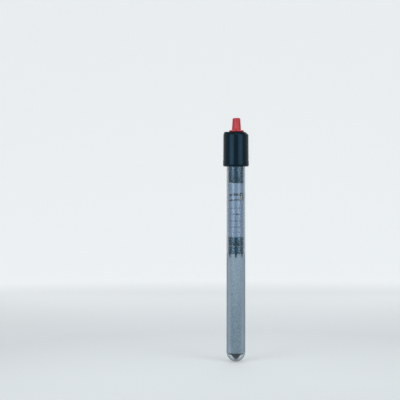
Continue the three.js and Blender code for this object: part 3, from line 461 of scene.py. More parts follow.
mouldedLooks = {
    "capBlack": {
        "colour": (0.0012, 0.005, 0.0085), "worn": (0.014, 0.022, 0.028), "grain": 0.22, "rough": (0.2, 0.26),
        "depth": 0.004, "speckle": 0.05, "wear": 0.3, "dust": 0.03, "scratch": 0.2,
        "sockets": {"Specular IOR Level": 0.22, "Specular Tint": (0.35, 0.7, 1.0, 1)},
    },
    "dialRed": {
        "colour": (0.54, 0.026, 0.036), "worn": (0.64, 0.09, 0.1), "grain": 0.25, "rough": (0.3, 0.42),
        "depth": 0.004, "vary": 0.88, "speckle": 0.06, "dust": 0.03, "scratch": 0.15,
        "sockets": {"Specular IOR Level": 0.35},
    },
    "rubber": {
        "colour": (0.018, 0.019, 0.021), "worn": (0.08, 0.08, 0.08), "grain": 0.15, "rough": (0.55, 0.75),
        "depth": 0.02,
    },
    "phenolic": {
        "colour": (0.0012, 0.005, 0.013), "worn": (0.014, 0.022, 0.034), "grain": 0.3, "rough": (0.24, 0.3),
        "depth": 0.002, "vary": 0.85, "speckle": 0.05, "wear": 0.2, "dust": 0.0, "scratch": 0.0,
        "sockets": {"Specular IOR Level": 0.7, "Specular Tint": (0.42, 0.74, 1.0, 1)},
    },
    "ferrite": {
        "colour": (0.05, 0.05, 0.055), "worn": (0.16, 0.16, 0.17), "grain": 0.12, "rough": (0.5, 0.7), "depth": 0.02,
    },
    "ceramic": {
        "colour": (0.66, 0.61, 0.52), "worn": (0.8, 0.77, 0.7), "grain": 0.16, "rough": (0.6, 0.8),
        "depth": 0.03, "speckle": 0.4, "vary": 0.85,
    },
    "capacitorDip": {
        "colour": (0.4, 0.06, 0.03), "worn": (0.55, 0.18, 0.1), "grain": 0.5, "rough": (0.2, 0.35), "depth": 0.02,
        "sockets": {"Coat Weight": 0.5, "Coat Roughness": 0.1},
    },
}
metalLooks = {
    "brass": {
        "colour": (0.62, 0.43, 0.17), "dull": (0.32, 0.21, 0.1), "bright": (0.85, 0.68, 0.36),
        "tarnish": 0.45, "rough": (0.22, 0.38), "depth": 0.008, "lines": (toolLines, {"Pitch": 0.16, "Wander": 0.05}),
    },
    "steel": {
        "colour": (0.5, 0.51, 0.52), "dull": (0.26, 0.25, 0.24), "bright": (0.78, 0.78, 0.78),
        "tarnish": 0.35, "rough": (0.22, 0.36), "depth": 0.005, "lines": (toolLines, {"Pitch": 0.2, "Wander": 0.3}),
    },
    "springBronze": {
        "colour": (0.62, 0.33, 0.17), "dull": (0.3, 0.15, 0.09), "bright": (0.85, 0.55, 0.36),
        "tarnish": 0.4, "rough": (0.24, 0.4), "depth": 0.005, "lines": (fibres, {"Width": 0.1, "Length": 5.0}),
    },
    "contactSilver": {
        "colour": (0.74, 0.73, 0.7), "dull": (0.3, 0.27, 0.24), "bright": (0.92, 0.92, 0.9), "patch": 0.8,
        "tarnish": 0.3, "rough": (0.16, 0.3), "depth": 0.004, "lines": (toolLines, {"Pitch": 0.1, "Wander": 0.2}),
    },
    "bimetal": {
        "colour": (0.42, 0.39, 0.34), "dull": (0.26, 0.2, 0.16), "bright": (0.7, 0.68, 0.62),
        "tarnish": 0.5, "rough": (0.28, 0.42), "depth": 0.006, "lines": (fibres, {"Width": 0.08, "Length": 6.0}),
    },
}
for name, look in mouldedLooks.items():
    moulded(name, look)
for name, look in metalLooks.items():
    metal(name, look)
clearGlass("glass", (0.97, 0.985, 0.99), (0.07, 0.13, 0.2), 0.2)
clearGlass("lampGlass", (0.98, 0.96, 0.94), (0.6, 0.55, 0.5), 0.02)


# Packed fine quartz: pale grains of several tones with painted shade in the gaps between them, a painted shade down the
# middle where the fill faces the eye, stronger deep down, and painted light that makes its slanted sides paler.
def makeSand():
    look = {
        "dark": (0.325, 0.39, 0.45, 1), "pale": (0.415, 0.48, 0.535, 1), "odd": (0.15, 0.16, 0.16, 1),
        "gap": (0.11, 0.155, 0.195, 1), "streak": (0.19, 0.25, 0.3, 1), "core": (0.13, 0.18, 0.22, 1),
        "rim": (0.74, 0.81, 0.88, 1), "deepFrom": -110.0, "deepTo": -180.0,
    }
    tree, shader = newMaterial("sand", {"Specular IOR Level": 0.35})
    place = millimetres(tree)
    cells = shade(tree, "TexVoronoi", {"Vector": place, "Scale": 2.6, "Randomness": 1.0})
    tone = axisOf(cells["Color"], "X")
    colour = mix(tone, look["dark"], look["pale"])
    colour = mix(ramp(tone, 0.93, 0.95), colour, look["odd"])
    # Painted shade in the gaps between the grains.
    colour = mix(times(ramp(cells["Distance"], 0.45, 0.8), 0.35), colour, look["gap"])
    grain = useGroup(tree, fineGrain, Size=0.12, Patch=9.0)
    colour = mix(times(grain["Tone"], 0.25), colour, look["streak"])
    streaks = useGroup(tree, fibres, Width=1.5, Length=80.0)["Tone"]
    colour = mix(times(streaks, 0.5), colour, look["streak"])
    # Painted shade down the middle, where the fill faces the eye, stronger towards the bottom; the colour core is this
    # painted shade.
    depthShade = ramp(axisOf(place, "Z"), look["deepFrom"], look["deepTo"], 0.05, 0.5, True)
    slant = shade(tree, "LayerWeight", {"Blend": 0.5})["Facing"]
    colour = mix(times(depthShade, ramp(slant, 0.01, 0.14, 1.0, 0.0, True)), colour, look["core"])
    # Painted light: the slanted sides of the fill are made paler with the colour rim.
    colour = mix(ramp(slant, 0.08, 0.4), colour, look["rim"])
    rise = minus(times(grain["Height"], 0.4), cells["Distance"])
    dress(shader, colour, ramp(tone, 0, 1, 0.45, 0.85), rise, 0.07)


# Coated paper, printed with two plain rules and rows of dashes that stand for small print; its inside face is painted
# dark, a painted shade for the shade inside the tube.
def makeLabel():
    look = {
        "paper": (0.205, 0.285, 0.41, 1), "fibre": (0.155, 0.215, 0.315, 1), "stain": (0.2, 0.25, 0.31, 1),
        "ink": (0.004, 0.01, 0.03, 1), "insideShade": (0.05, 0.075, 0.085, 1), "radius": 8.4, "middle": -1.0,
        "rules": [(-29.8, 1.15, 1.0), (-35.4, 0.8, 0.95)], "ruleHalf": 7.0, "ruleSag": 0.14,
        "rows": [(-44.2, 0.6, 0.7), (-50.6, 0.8, 0.9), (-57.8, 0.6, 0.7), (-64.2, 0.6, 0.65), (-69.6, 0.4, 0.5)],
        "rowHalf": 6.0,
    }
    tree, shader = newMaterial("labelPaper", {
        "Coat Weight": 1.0, "Coat Roughness": 0.2, "Specular IOR Level": 0.3,
    })
    place = millimetres(tree)
    x, y, height = (axisOf(place, axis) for axis in "XYZ")
    along = times(calc("ARCTAN2", x, times(y, -1.0)), look["radius"])
    sideways = apart(along, look["middle"])
    sagging = minus(height, times(calc("MINIMUM", plus(along, 1.5), 0.0), look["ruleSag"]))
    bands = []
    for z, half, strength in look["rules"]:
        band = ramp(apart(sagging, z), half, half + 0.15, strength, 0.0)
        bands.append(times(band, ramp(sideways, look["ruleHalf"], look["ruleHalf"] + 0.2, 1.0, 0.0)))
    for z, half, strength in look["rows"]:
        band = ramp(apart(height, z), half, half + 0.12, strength, 0.0)
        line = shade(tree, "CombineXYZ", {0: along, 1: z})[0]
        band = times(band, ramp(noise(line, 0.9, 1.0), 0.42, 0.45))
        bands.append(times(band, ramp(sideways, look["rowHalf"], look["rowHalf"] + 0.2, 1.0, 0.0)))
    ink = bands[0]
    for band in bands[1:]:
        ink = larger(ink, band)
    paper = useGroup(tree, fibres, Width=0.25, Length=1.2)
    colour = mix(times(paper["Tone"], 0.3), look["paper"], look["fibre"])
    stains = useGroup(tree, fineGrain, Size=0.4, Patch=14.0)["Tone"]
    colour = mix(times(stains, 0.2), colour, look["stain"])
    colour = mix(ink, colour, look["ink"])
    # Painted shade: the inside face of the roll is made dark.
    inner = ramp(awayFromAxis(place), look["radius"] - 0.3, look["radius"] - 0.15, 1.0, 0.0)
    colour = mix(inner, colour, look["insideShade"])
    dress(shader, colour, ramp(paper["Tone"], 0, 1, 0.4, 0.55), plus(paper["Height"], times(ink, 0.3)), 0.01)


# Split sheet: pearly flakes in layers.
def makeMica():
    look = {"dark": (0.12, 0.17, 0.2, 1), "pale": (0.22, 0.28, 0.31, 1), "layer": (0.1, 0.13, 0.14, 1)}
    tree, shader = newMaterial("mica", {"Coat Weight": 0.4, "Coat Roughness": 0.2})
    wide = stretched(millimetres(tree), (0.5, 0.5, 3.0))
    flakes = shade(tree, "TexVoronoi", {"Vector": wide, "Scale": 1.4})["Color"]
    tone = axisOf(flakes, "X")
    layers = useGroup(tree, toolLines, Pitch=0.11, Wander=0.1)
    colour = mix(tone, look["dark"], look["pale"])
    colour = mix(times(layers["Tone"], 0.3), colour, look["layer"])
    dress(shader, colour, ramp(tone, 0, 1, 0.25, 0.5), layers["Height"], 0.01)


# Woven sleeving: two sets of strands crossing round the wire, on its own path coordinates.
def makeSleeving():
    look = {"dark": (0.42, 0.39, 0.31, 1), "pale": (0.66, 0.63, 0.54, 1), "soiled": (0.5, 0.45, 0.33, 1)}
    tree, shader = newMaterial("sleeving", {"Sheen Weight": 0.2})
    route = shade(tree, "Attribute", attribute_name="route")["Vector"]
    around, along = axisOf(route, "X"), axisOf(route, "Y")
    strands = []
    for way in (1.0, -1.0):
        phase = plus(times(around, way * 6.0), times(along, 2.6))
        strands.append(calc("SINE", times(phase, fullTurn)))
    high = larger(*strands)
    grain = useGroup(tree, fineGrain, Size=0.2, Patch=5.0)
    colour = mix(ramp(times(*strands), -0.6, 0.8), look["dark"], look["pale"])
    colour = mix(times(grain["Tone"], 0.35), colour, look["soiled"])
    rise = plus(high, times(grain["Height"], 0.3))
    dress(shader, colour, ramp(high, -0.5, 1.0, 0.85, 0.6), rise, 0.05)


# Lacquered body with four painted bands, each at its height from the middle.
def makeResistor():
    look = {
        "lacquer": (0.5, 0.36, 0.19, 1), "shade": (0.42, 0.29, 0.15, 1),
        "bands": {
            -2.6: (0.16, 0.05, 0.02, 1), -1.2: (0.02, 0.02, 0.02, 1), 0.2: (0.45, 0.3, 0.02, 1),
            2.5: (0.5, 0.38, 0.14, 1),
        },
    }
    low, high = boxOf("lamp_resistor")
    middle = (low.z + high.z) / 2
    tree, shader = newMaterial("resistorLacquer", {"Coat Weight": 0.5, "Coat Roughness": 0.15})
    place = millimetres(tree)
    grain = useGroup(tree, fineGrain, Size=0.3, Patch=2.0)
    wander = times(noise(place, 1.5, 1.0), 0.12)
    colour = mix(grain["Tone"], look["lacquer"], look["shade"])
    for offset, paint in look["bands"].items():
        away = apart(axisOf(place, "Z"), middle + offset)
        colour = mix(ramp(plus(away, wander), 0.42, 0.48, 1.0, 0.0), colour, paint)
    dress(shader, colour, ramp(grain["Tone"], 0, 1, 0.3, 0.45), grain["Height"], 0.015)


# White marking paint, slightly uneven.
def makePaint():
    tree, shader = newMaterial("markingPaint")
    grain = useGroup(tree, fineGrain, Size=0.15, Patch=1.5)
    colour = mix(grain["Tone"], (0.78, 0.77, 0.74, 1), (0.66, 0.62, 0.6, 1))
    dress(shader, colour, ramp(grain["Tone"], 0, 1, 0.4, 0.6), grain["Height"], 0.01)


makeSand()
makeLabel()
makeMica()
makeSleeving()
makeResistor()
makePaint()
print("finishes made")


def geo(tree, kind, values=None, **settings):
    return addNode(tree, "GeometryNode" + kind, values, **settings).outputs[0]


def stored(geometry, name, value, kind="FLOAT"):
    values = {"Geometry": geometry, "Name": name, "Value": value}
    return geo(geometry.id_data, "StoreNamedAttribute", values, data_type=kind, domain="POINT")


# A tree that takes a base mesh, a material and the named inputs; build gives its geometry.
def geometryGroup(name, build, **inputs):
    tree = bpy.data.node_groups.new(name, "GeometryNodeTree")
    sockets = {"Geometry": ("Geometry", None), **inputs, "Material": ("Material", None)}
    for label, (kind, value) in sockets.items():
        socket = tree.interface.new_socket(label, in_out="INPUT", socket_type="NodeSocket" + kind)
        if value is not None:
            socket.default_value = value
    tree.interface.new_socket("Geometry", in_out="OUTPUT", socket_type="NodeSocketGeometry")
    given = tree.nodes.new("NodeGroupInput").outputs
    real = geo(tree, "RealizeInstances", {0: build(tree, given)})
    done = geo(tree, "SetMaterial", {"Geometry": real, "Material": given["Material"]})
    tree.links.new(done, tree.nodes.new("NodeGroupOutput").inputs["Geometry"])
    return tree


# A round wire along the base mesh's line of edges, with its route kept as an attribute.
def buildWire(tree, given):
    spline = addNode(tree, "GeometryNodeSplineParameter").outputs
    curve = stored(geo(tree, "MeshToCurve", {"Mesh": given["Geometry"]}), "along", spline["Length"])
    circle = geo(tree, "CurvePrimitiveCircle", {"Resolution": given["Sides"], "Radius": given["Radius"]})
    circle = stored(circle, "around", spline["Factor"])
    mesh = geo(tree, "CurveToMesh", {"Curve": curve, "Profile Curve": circle, "Fill Caps": True})
    around, along = (geo(tree, "InputNamedAttribute", {"Name": label}) for label in ("around", "along"))
    route = shade(tree, "CombineXYZ", {0: around, 1: times(along, 1000.0)})[0]
    return stored(mesh, "route", route, "FLOAT_VECTOR")


# Copies of the base mesh turned evenly about the Z axis through a point.
def buildAround(tree, given):
    line = geo(tree, "MeshLine", {"Count": given["Count"], "Offset": (0, 0, 0)})
    points = geo(tree, "MeshToPoints", {"Mesh": line})
    placed = geo(tree, "SetPosition", {"Geometry": points, "Position": given["Centre"]})
    back = stretched(given["Centre"], (-1, -1, -1))
    centred = geo(tree, "Transform", {"Geometry": given["Geometry"], "Translation": back})
    radians = calc("RADIANS", times(geo(tree, "InputIndex"), given["Step"]))
    turn = shade(tree, "CombineXYZ", {2: radians})[0]
    return geo(tree, "InstanceOnPoints", {"Points": placed, "Instance": centred, "Rotation": turn})


# The base mesh with a ridge of square section wound round it.
def buildThread(tree, given):
    spiral = geo(tree, "CurveSpiral", {
        "Resolution": 24, "Rotations": given["Turns"], "Start Radius": given["Core"], "End Radius": given["Core"],
        "Height": given["Length"],
    })
    section = geo(tree, "CurvePrimitiveCircle", {"Resolution": 4, "Radius": given["Ridge"]})
    ridge = geo(tree, "CurveToMesh", {"Curve": spiral, "Profile Curve": section, "Fill Caps": True})
    moved = geo(tree, "Transform", {"Geometry": ridge, "Translation": given["Foot"]})
    joined = addNode(tree, "GeometryNodeJoinGeometry", {"Geometry": given["Geometry"]})
    tree.links.new(moved, joined.inputs[0])
    return joined.outputs[0]


# Small faceted grains scattered over the base mesh, half sunk in it.
def buildGrains(tree, given):
    values = {"Mesh": given["Geometry"], "Density": given["Density"], "Seed": given["Seed"]}
    points = geo(tree, "DistributePointsOnFaces", values)
    grain = geo(tree, "MeshIcoSphere", {"Radius": given["Size"], "Subdivisions": 1})
    turn, size = (
        addNode(tree, "FunctionNodeRandomValue", {"Min": (low,) * 3, "Max": (high,) * 3, "Seed": seed},
                data_type="FLOAT_VECTOR").outputs[0]
        for low, high, seed in ((0, 6.28, 3), (0.6, 1.1, 5))
    )
    return geo(tree, "InstanceOnPoints", {"Points": points, "Instance": grain, "Rotation": turn, "Scale": size})


wireTree = geometryGroup("wireAlongRoute", buildWire, Radius=("Float", 0.0008), Sides=("Int", 16))
aroundTree = geometryGroup(
    "copiesAround", buildAround, Count=("Int", 8), Step=("Float", 45.0), Centre=("Vector", (0, 0, 0))
)
threadTree = geometryGroup(
    "screwThread", buildThread, Turns=("Float", 10.0), Core=("Float", 0.001), Length=("Float", 0.008),
    Ridge=("Float", 0.0002), Foot=("Vector", (0, 0, 0))
)
grainTree = geometryGroup(
    "scatteredGrains", buildGrains, Density=("Float", 1e6), Size=("Float", 0.0002), Seed=("Int", 7)
)


# Straight between the points and curved at each corner.
def rounded(points, bend=1.6, steps=6):
    corners = [Vector(p) for p in points]
    route = [corners[0]]
    for before, corner, after in zip(corners, corners[1:], corners[2:]):
        toBefore, toAfter = before - corner, after - corner
        reach = min(bend, toBefore.length / 2.1, toAfter.length / 2.1)
        start = corner + toBefore.normalized() * reach
        end = corner + toAfter.normalized() * reach
        for i in range(steps + 1):
            t = i / steps
            route.append(start * (1 - t) ** 2 + corner * 2 * t * (1 - t) + end * t * t)
    return route + [corners[-1]]


def wirePiece(name, points, radius, sides, finish, node=None):
    base = bpy.data.meshes.new("route")
    edges = [(i, i + 1) for i in range(len(points) - 1)]
    base.from_pydata([Vector(p) * mm for p in points], edges, [])
    grownPiece(name, base, wireTree, finish, node, smoothAngle=50, Radius=radius * mm, Sides=sides)


# What several pieces share: the axes of dial, gland and lamp, the leads' lanes, the outer radius of what stands
# in the tube and the height of the cap.
dialX, dialY = polar(3.3, -80)
glandX, glandY = polar(7.85, 110)
lampX, lampY = polar(5.85, -42)
leadX, leadY = 2.4, 5.75
packRadius = 8.4
capTop = 36.8


def leadHoles(bottom, top):
    return [rod(1.1, bottom - 1, top + 1, side * leadX, leadY, 32) for side in (-1, 1)]


def makeGlassTube():
    size = {"radius": 10.0, "wall": 1.3, "tipWall": 2.1}
    low, high = boxOf("glass_tube")
    radius, bore = size["radius"], size["radius"] - size["wall"]
    centre = low.z + radius
    tip = low.z + size["tipWall"]
    rim = size["wall"] / 2
    profile = [(0.0, low.z)] + arc(0, centre, radius, -90, 0, 24)[1:]
    profile += arc(radius - rim, high.z - rim, rim, 0, 180, 8)
    profile += [(bore, centre)] + arc(0, centre, bore, -3, -72, 18) + [(1.5, tip + 0.14), (0.0, tip)]
    piece("glassTube", turned(profile, 128), "glass", "glass_tube", smoothAngle=60)


# Collar, wall and a bevelled top; behind the dial the top keeps its width, for the gland.
def makeCap():
    size = {
        "radius": 13.7, "collar": 13.9, "fillet": 1.8, "collarTop": 6.4, "bevel": 2.9, "draft": 0.15,
        "landEdge": 12.85, "landChamfer": 0.4, "landStart": 40, "landEnd": 215, "landBlend": 3,
        "chamber": 11.7, "roof": 33.3, "lipBore": 10.3, "lip": 2.0, "tower": 6.0, "towerFoot": 29.9,
        "bushHole": 4.85, "glandHole": 4.1, "stopInner": 5.4, "stopOuter": 6.6, "stopHalf": 31, "stopRise": 0.6,
    }
    top, roof, collar, collarTop = capTop, size["roof"], size["collar"], size["collarTop"]
    fillet, land, lipBore = size["fillet"], size["landEdge"], size["lipBore"]
    wall = size["radius"] - size["draft"]
    deck = size["radius"] - size["bevel"]
    foot = top - size["bevel"]
    start = [(0, 0)] + arc(collar - fillet, fillet, fillet, -90, 0, 10)
    start += [(collar, collarTop - 0.3), (collar - 0.06, collarTop - 0.12)]
    start += [(size["radius"] + 0.02, collarTop - 0.02), (size["radius"], collarTop + 0.1)]
    sharp = [(wall, foot - 0.25), (wall - 0.08, foot), (deck + 0.2, top - 0.24), (deck - 0.05, top - 0.05)]
    sharp += [(deck - 0.35, top), (deck - 1, top)]
    full = [(wall, foot - 0.25), (wall, foot), (land, top - size["landChamfer"]), (land - 0.15, top - 0.12)]
    full += [(land - 0.4, top), (deck - 1, top)]
    columns = []
    for around in spread(0, 360, 240)[:-1]:
        inside = min(around - size["landStart"], size["landEnd"] - around)
        share = min(max(inside / size["landBlend"] + 0.5, 0), 1)
        share = share * share * (3 - 2 * share)
        edge = [(a[0] + (b[0] - a[0]) * share, a[1] + (b[1] - a[1]) * share) for a, b in zip(sharp, full)]
        columns.append([(*polar(r, around), z) for r, z in start + edge + [(0, top)]])
    chamber = turned([
        (0, -1), (lipBore + 0.2, -1), (lipBore + 0.2, 0), (lipBore, 0.2), (lipBore, size["lip"]),
        (size["chamber"], size["lip"]), (size["chamber"], roof), (0, roof),
    ], 120)
    tower = rod(size["tower"], size["towerFoot"], roof + 1, dialX, dialY, 72)
    rib = sector(
        size["stopInner"], size["stopOuter"], 90 - size["stopHalf"], 90 + size["stopHalf"],
        top - 1, top + size["stopRise"], 32, dialX, dialY,
    )
    holes = []
    for radius, bottom, x, y in ((size["bushHole"], 25, dialX, dialY), (size["glandHole"], 30, glandX, glandY)):
        mouth = radius + 0.25
        profile = [(0, bottom), (radius, bottom), (radius, top - 0.25), (mouth, top + 0.01), (mouth, top + 1)]
        holes.append(turned(profile + [(0, top + 1)], 72, x, y))
    body = combined(combined(grid(list(zip(*columns))), cut=[chamber]), add=[tower, rib], cut=holes)
    piece("cap", body, "capBlack", "cap_shell", smoothAngle=30)


# Rubber sleeve with a flange, cut to the room and the hole that hold it.
def makeGland():
    size = {"bore": 3.15, "neck": 3.8, "flange": 4.75, "flangeTop": 33.0, "bottom": 31.5, "roof": 33.3}
    bore, neck, bottom, roof = size["bore"], size["neck"], size["bottom"], size["roof"]
    room = combined(rod(11.4, 30, roof, steps=120), add=[rod(4.8, roof, 38, glandX, glandY)])
    sleeve = turned([
        (bore, bottom), (size["flange"] - 0.2, bottom), (size["flange"], bottom + 0.2),
        (size["flange"], size["flangeTop"]), (neck, size["flangeTop"]), (neck, capTop - 0.35),
        (neck - 0.08, capTop - 0.15), (3.5, capTop), (3.38, capTop), (3.2, capTop - 0.1), (bore, capTop - 0.35),
    ], 72, glandX, glandY, ring=True)
    piece("cordGland", combined(sleeve, keep=[room]), "rubber", "cord_gland", smoothAngle=40)


makeGlassTube()
makeCap()
makeGland()
print("glass and cap made")

# Edge and foot of the slope on the dial's skirt, as radius and height.
skirtEdge, skirtFoot = (7.7, 38.26), (5.95, 38.78)


def makeDial():
    size = {
        "flutes": 12, "fluteDepth": 0.22, "fluteFrom": 40.1, "fluteTo": 49.5, "bottom": 37.1, "skirt": 7.9,
        "top": 51.5, "topRadius": 4.2, "topRound": 1.5, "recessInner": 5.05, "recessOuter": 6.95,
        "recessTop": 37.85, "lugInner": 4.85, "lugOuter": 7.15, "lugTop": 37.95, "lugHalf": 7,
        "spindle": 2.3, "flat": 1.8, "socketTop": 45.9,
    }
    bottom, skirt, top = size["bottom"], size["skirt"], size["top"]
    profile = [(0, bottom), (7.72, bottom), (7.86, 37.16), (skirt, 37.3), (skirt, 38.08), (7.85, 38.2)]
    profile += [skirtEdge, skirtFoot, (5.5, 38.93), (5.22, 39.08), (5.0, 39.35), (4.88, 39.7), (4.85, 39.95)]
    profile += [(4.83, 40.25)] + [(4.8 - 0.06 * i, 40.55 + 0.885 * i) for i in range(10)]
    profile += [(4.24, 49.1), (4.22, 49.6)]
    profile += arc(size["topRadius"] - size["topRound"], top - size["topRound"], size["topRound"], 4, 82, 12)
    profile += [(2.5, top), (2.2, 51.36), (1.8, 51.22), (1.0, 51.12), (0, 51.1)]

    def radiusAt(r, z, around):
        fade = min(max((z - size["fluteFrom"]) / 0.8, 0), 1) * min(max((size["fluteTo"] - z) / 0.7, 0), 1)
        wave = 0.5 - 0.5 * math.cos(math.radians(around) * size["flutes"])
        return r - size["fluteDepth"] * fade * wave ** 0.7

    outside = turned(profile, 240, dialX, dialY, radiusAt=radiusAt)
    inner, outer, recessTop = size["recessInner"], size["recessOuter"], size["recessTop"]
    recess = turned([(inner, 36), (outer, 36), (outer, recessTop), (inner, recessTop)], 96, dialX, dialY, ring=True)
    lug = sector(
        size["lugInner"], size["lugOuter"], -90 - size["lugHalf"], -90 + size["lugHalf"],
        bottom, size["lugTop"], 8, dialX, dialY,
    )
    socket = combined(
        rod(size["spindle"], 36, size["socketTop"], dialX, dialY),
        keep=[block(dialX - 5, dialX + 5, dialY - 5, dialY + size["flat"], 35, 47)],
    )
    body = combined(combined(outside, cut=[recess]), add=[lug], cut=[socket])
    piece("dialKnob", body, "dialRed", "knob", "dial", smoothAngle=34)


# Numbers and ticks on the skirt's slope.
def makeScale():
    size = {
        "first": 20, "last": 34, "step": 2, "sweep": 270, "numberRadius": 6.75, "fontSize": 1.5525, "lift": 0.012,
        "ticks": 29, "tickInner": 7.38, "tickOuter": 7.68, "tickHalf": 0.07,
    }
    slope = math.atan2(skirtFoot[1] - skirtEdge[1], skirtEdge[0] - skirtFoot[0])

    def surface(r):
        return skirtEdge[1] + (skirtEdge[0] - r) * math.tan(slope)

    whole = bmesh.new()
    numbers = range(size["first"], size["last"] + 1, size["step"])
    half = size["sweep"] / 2
    for number, around in zip(numbers, spread(-90 - half, -90 + half, len(numbers) - 1)):
        font = bpy.data.curves.new("number", "FONT")
        font.body = str(number)
        font.size = size["fontSize"]
        font.align_x = font.align_y = "CENTER"
        font.extrude = 0.01
        words = linked("number", font)
        mesh = evaluated(words)
        x, y = polar(size["numberRadius"], around)
        place = Matrix.Translation((dialX + x, dialY + y, surface(size["numberRadius"]) + size["lift"]))
        turn = Matrix.Rotation(math.radians(around + 90), 4, "Z") @ Matrix.Rotation(slope, 4, "X")
        mesh.transform(place @ turn)
        whole.from_mesh(mesh)
        bpy.data.objects.remove(words)
        bpy.data.curves.remove(font)
        bpy.data.meshes.remove(mesh)
    piece("dialNumbers", whole, "markingPaint", body="dial", smoothAngle=30)

    tick = hull([
        (dialX + side, dialY - r, surface(r) + lift) for r in (size["tickInner"], size["tickOuter"])
        for side in (-size["tickHalf"], size["tickHalf"]) for lift in (-0.02, size["lift"])
    ])
    grownPiece(
        "dialTicks", metreMesh(swung(tick, -half, dialX, dialY), "dialTicks"), aroundTree, "markingPaint",
        body="dial", Count=size["ticks"], Step=size["sweep"] / (size["ticks"] - 1),
        Centre=(dialX * mm, dialY * mm, 0.0),
    )


makeDial()
makeScale()
print("dial made")


# Head, spine with flanges, lamp shelf, nut rails and foot, in one moulding.
def makeCarrier():
    size = {
        "headTop": 10.0, "headBottom": -17.5, "bottom": -74.7, "spineHalf": 5, "spineFront": 3.15,
        "spineBack": 4.65, "flange": 1.2, "shelfBottom": -42.2, "shelfTop": -40.7, "railBottom": -24.9,
        "rivetHoles": (-21.05, -68.85), "slotTops": (-31.35, -40.35, -49.35),
    }
    half, front, back, foot = size["spineHalf"], size["spineFront"], size["spineBack"], size["bottom"]
    head = turned([
        (0, size["headBottom"]), (8.0, size["headBottom"]), (8.28, -17.4), (packRadius, -17.1), (packRadius, 9.4),
        (8.28, 9.75), (7.8, size["headTop"]), (0, size["headTop"]),
    ], 128)
    disc = turned([
        (0, foot), (7.6, foot), (7.75, foot + 0.15), (7.75, -72.6), (7.65, -72.35), (7.35, -72.2), (0, -72.2),
    ], 128)
    flangeFront, flangeBack, spineFoot, spineTop = front - size["flange"], front + 0.1, foot + 0.1, -16.5
    shelfBottom, shelfTop, railFront, railBack = size["shelfBottom"], size["shelfTop"], dialY - 1.8, -1.9
    parts = [
        block(-half, half, front, back, spineFoot, spineTop),
        block(-half, 1 - half, flangeFront, flangeBack, spineFoot, spineTop),
        block(half - 1, half, flangeFront, flangeBack, spineFoot, spineTop),
        disc,
        block(2.4, half, lampY, flangeBack, shelfBottom, shelfTop),
        rod(1.9, shelfBottom, shelfTop, lampX, lampY),
        block(dialX - 3.75, dialX - 2.75, railFront, railBack, size["railBottom"], spineTop),
        block(dialX + 2.75, dialX + 3.75, railFront, railBack, size["railBottom"], spineTop),
    ]
    holes = [rod(1.5, -18.5, 11, dialX, dialY, 40), rod(2.35, 6.45, 11, dialX, dialY, 40)]
    holes += leadHoles(foot, size["headTop"])
    holes += [laid(rod(1.1, 1, 7, steps=32), z) for z in size["rivetHoles"]]
    holes += [rod(0.65, shelfBottom - 1.5, shelfTop + 1, lampX + side * 0.8, lampY, 20) for side in (-1, 1)]
    holes += [block(-1.6, 1.6, 2, 6, z - 5, z) for z in size["slotTops"]]
    piece("carrier", combined(head, add=parts, cut=holes), "phenolic", "thermostat_carrier", smoothAngle=30)


# Head with its driving tongue, and a shank with one ridge wound round it.
def makeScrew():
    size = {
        "core": 0.9, "pitch": 1.0, "ridge": 0.24, "foot": -26.1, "headFoot": 6.8, "head": 2.0,
        "top": 9.8, "tongueTop": 12.3,
    }
    core, foot, headFoot, head, top = (size[key] for key in ("core", "foot", "headFoot", "head", "top"))
    shank = turned([
        (0, foot), (core - 0.25, foot), (core, foot + 0.3), (core, headFoot), (head - 0.15, headFoot + 0.25),
        (head, headFoot + 0.4), (head, top - 0.2), (head - 0.2, top), (0, top),
    ], 48, dialX, dialY)
    tongue = block(dialX - 1.7, dialX + 1.7, dialY - 0.45, dialY + 0.45, top - 1, size["tongueTop"])
    length = headFoot - foot - 2
    grownPiece(
        "settingScrew", metreMesh(combined(shank, add=[tongue]), "settingScrew"), threadTree, "brass",
        "setting_screw", "dial", 30, Turns=length / size["pitch"], Core=core * mm,
        Length=length * mm, Ridge=size["ridge"] * mm, Foot=(dialX * mm, dialY * mm, (foot + 0.6) * mm),
    )


def makeRivets():
    rivets = [("armRivet", "arm_rivet", -21.05, 2.2), ("bracketRivet", "bracket_rivet", -68.85, 0.55)]
    for name, node, z, front in rivets:
        profile = [(0, front - 0.5), (0.9, front - 0.47), (1.3, front - 0.3), (1.5, front - 0.05), (1.45, front)]
        profile += [(0.8, front), (0.8, 4.95), (1.45, 4.95), (1.5, 5.0), (1.3, 5.28), (0.9, 5.42), (0, 5.45)]
        piece(name, laid(turned(profile, 40), z), "brass", node)


# Glass bulb on two pins, with the two electrode rods inside it.
def makeLamp():
    size = {"bottom": -40.4, "top": -27.0, "radius": 1.9, "bore": 1.55, "pin": 0.35, "pinFoot": -43.4, "electrode": 0.5}
    bottom, top, radius, bore = size["bottom"], size["top"], size["radius"], size["bore"]
    bulb = [(0, bottom), (1.3, bottom), (1.7, bottom + 0.25), (radius, bottom + 0.7), (radius, top - 3.2)]
    bulb += arc(0, top - 1 - radius, radius, 4, 64, 10)
    bulb += [(0.5, top - 0.75), (0.3, top - 0.35), (0.12, top), (0, top)]
    inner = [(0, bottom + 2.2), (0.9, bottom + 2.2), (1.45, bottom + 2.7), (bore, bottom + 3.4), (bore, top - 3.2)]
    inner += arc(0, top - 2.9, bore, 5, 85, 8) + [(0, top - 1.35)]
    hollow = turned(inner, 48, lampX, lampY)
    bmesh.ops.reverse_faces(hollow, faces=hollow.faces)
    shell = together([turned(bulb, 48, lampX, lampY), hollow])
    piece("lampBulb", shell, "lampGlass", "neon_lamp", smoothAngle=50)
    wires = []
    for side in (-1, 1):
        wires.append(rod(size["pin"], size["pinFoot"], bottom + 0.3, lampX + side * 0.8, lampY, 16, 0.05))
        wires.append(rod(size["electrode"], bottom + 2.6, bottom + 8.6, lampX + side * 0.62, lampY, 20, 0.12))
    piece("lampElectrodes", together(wires), "steel")


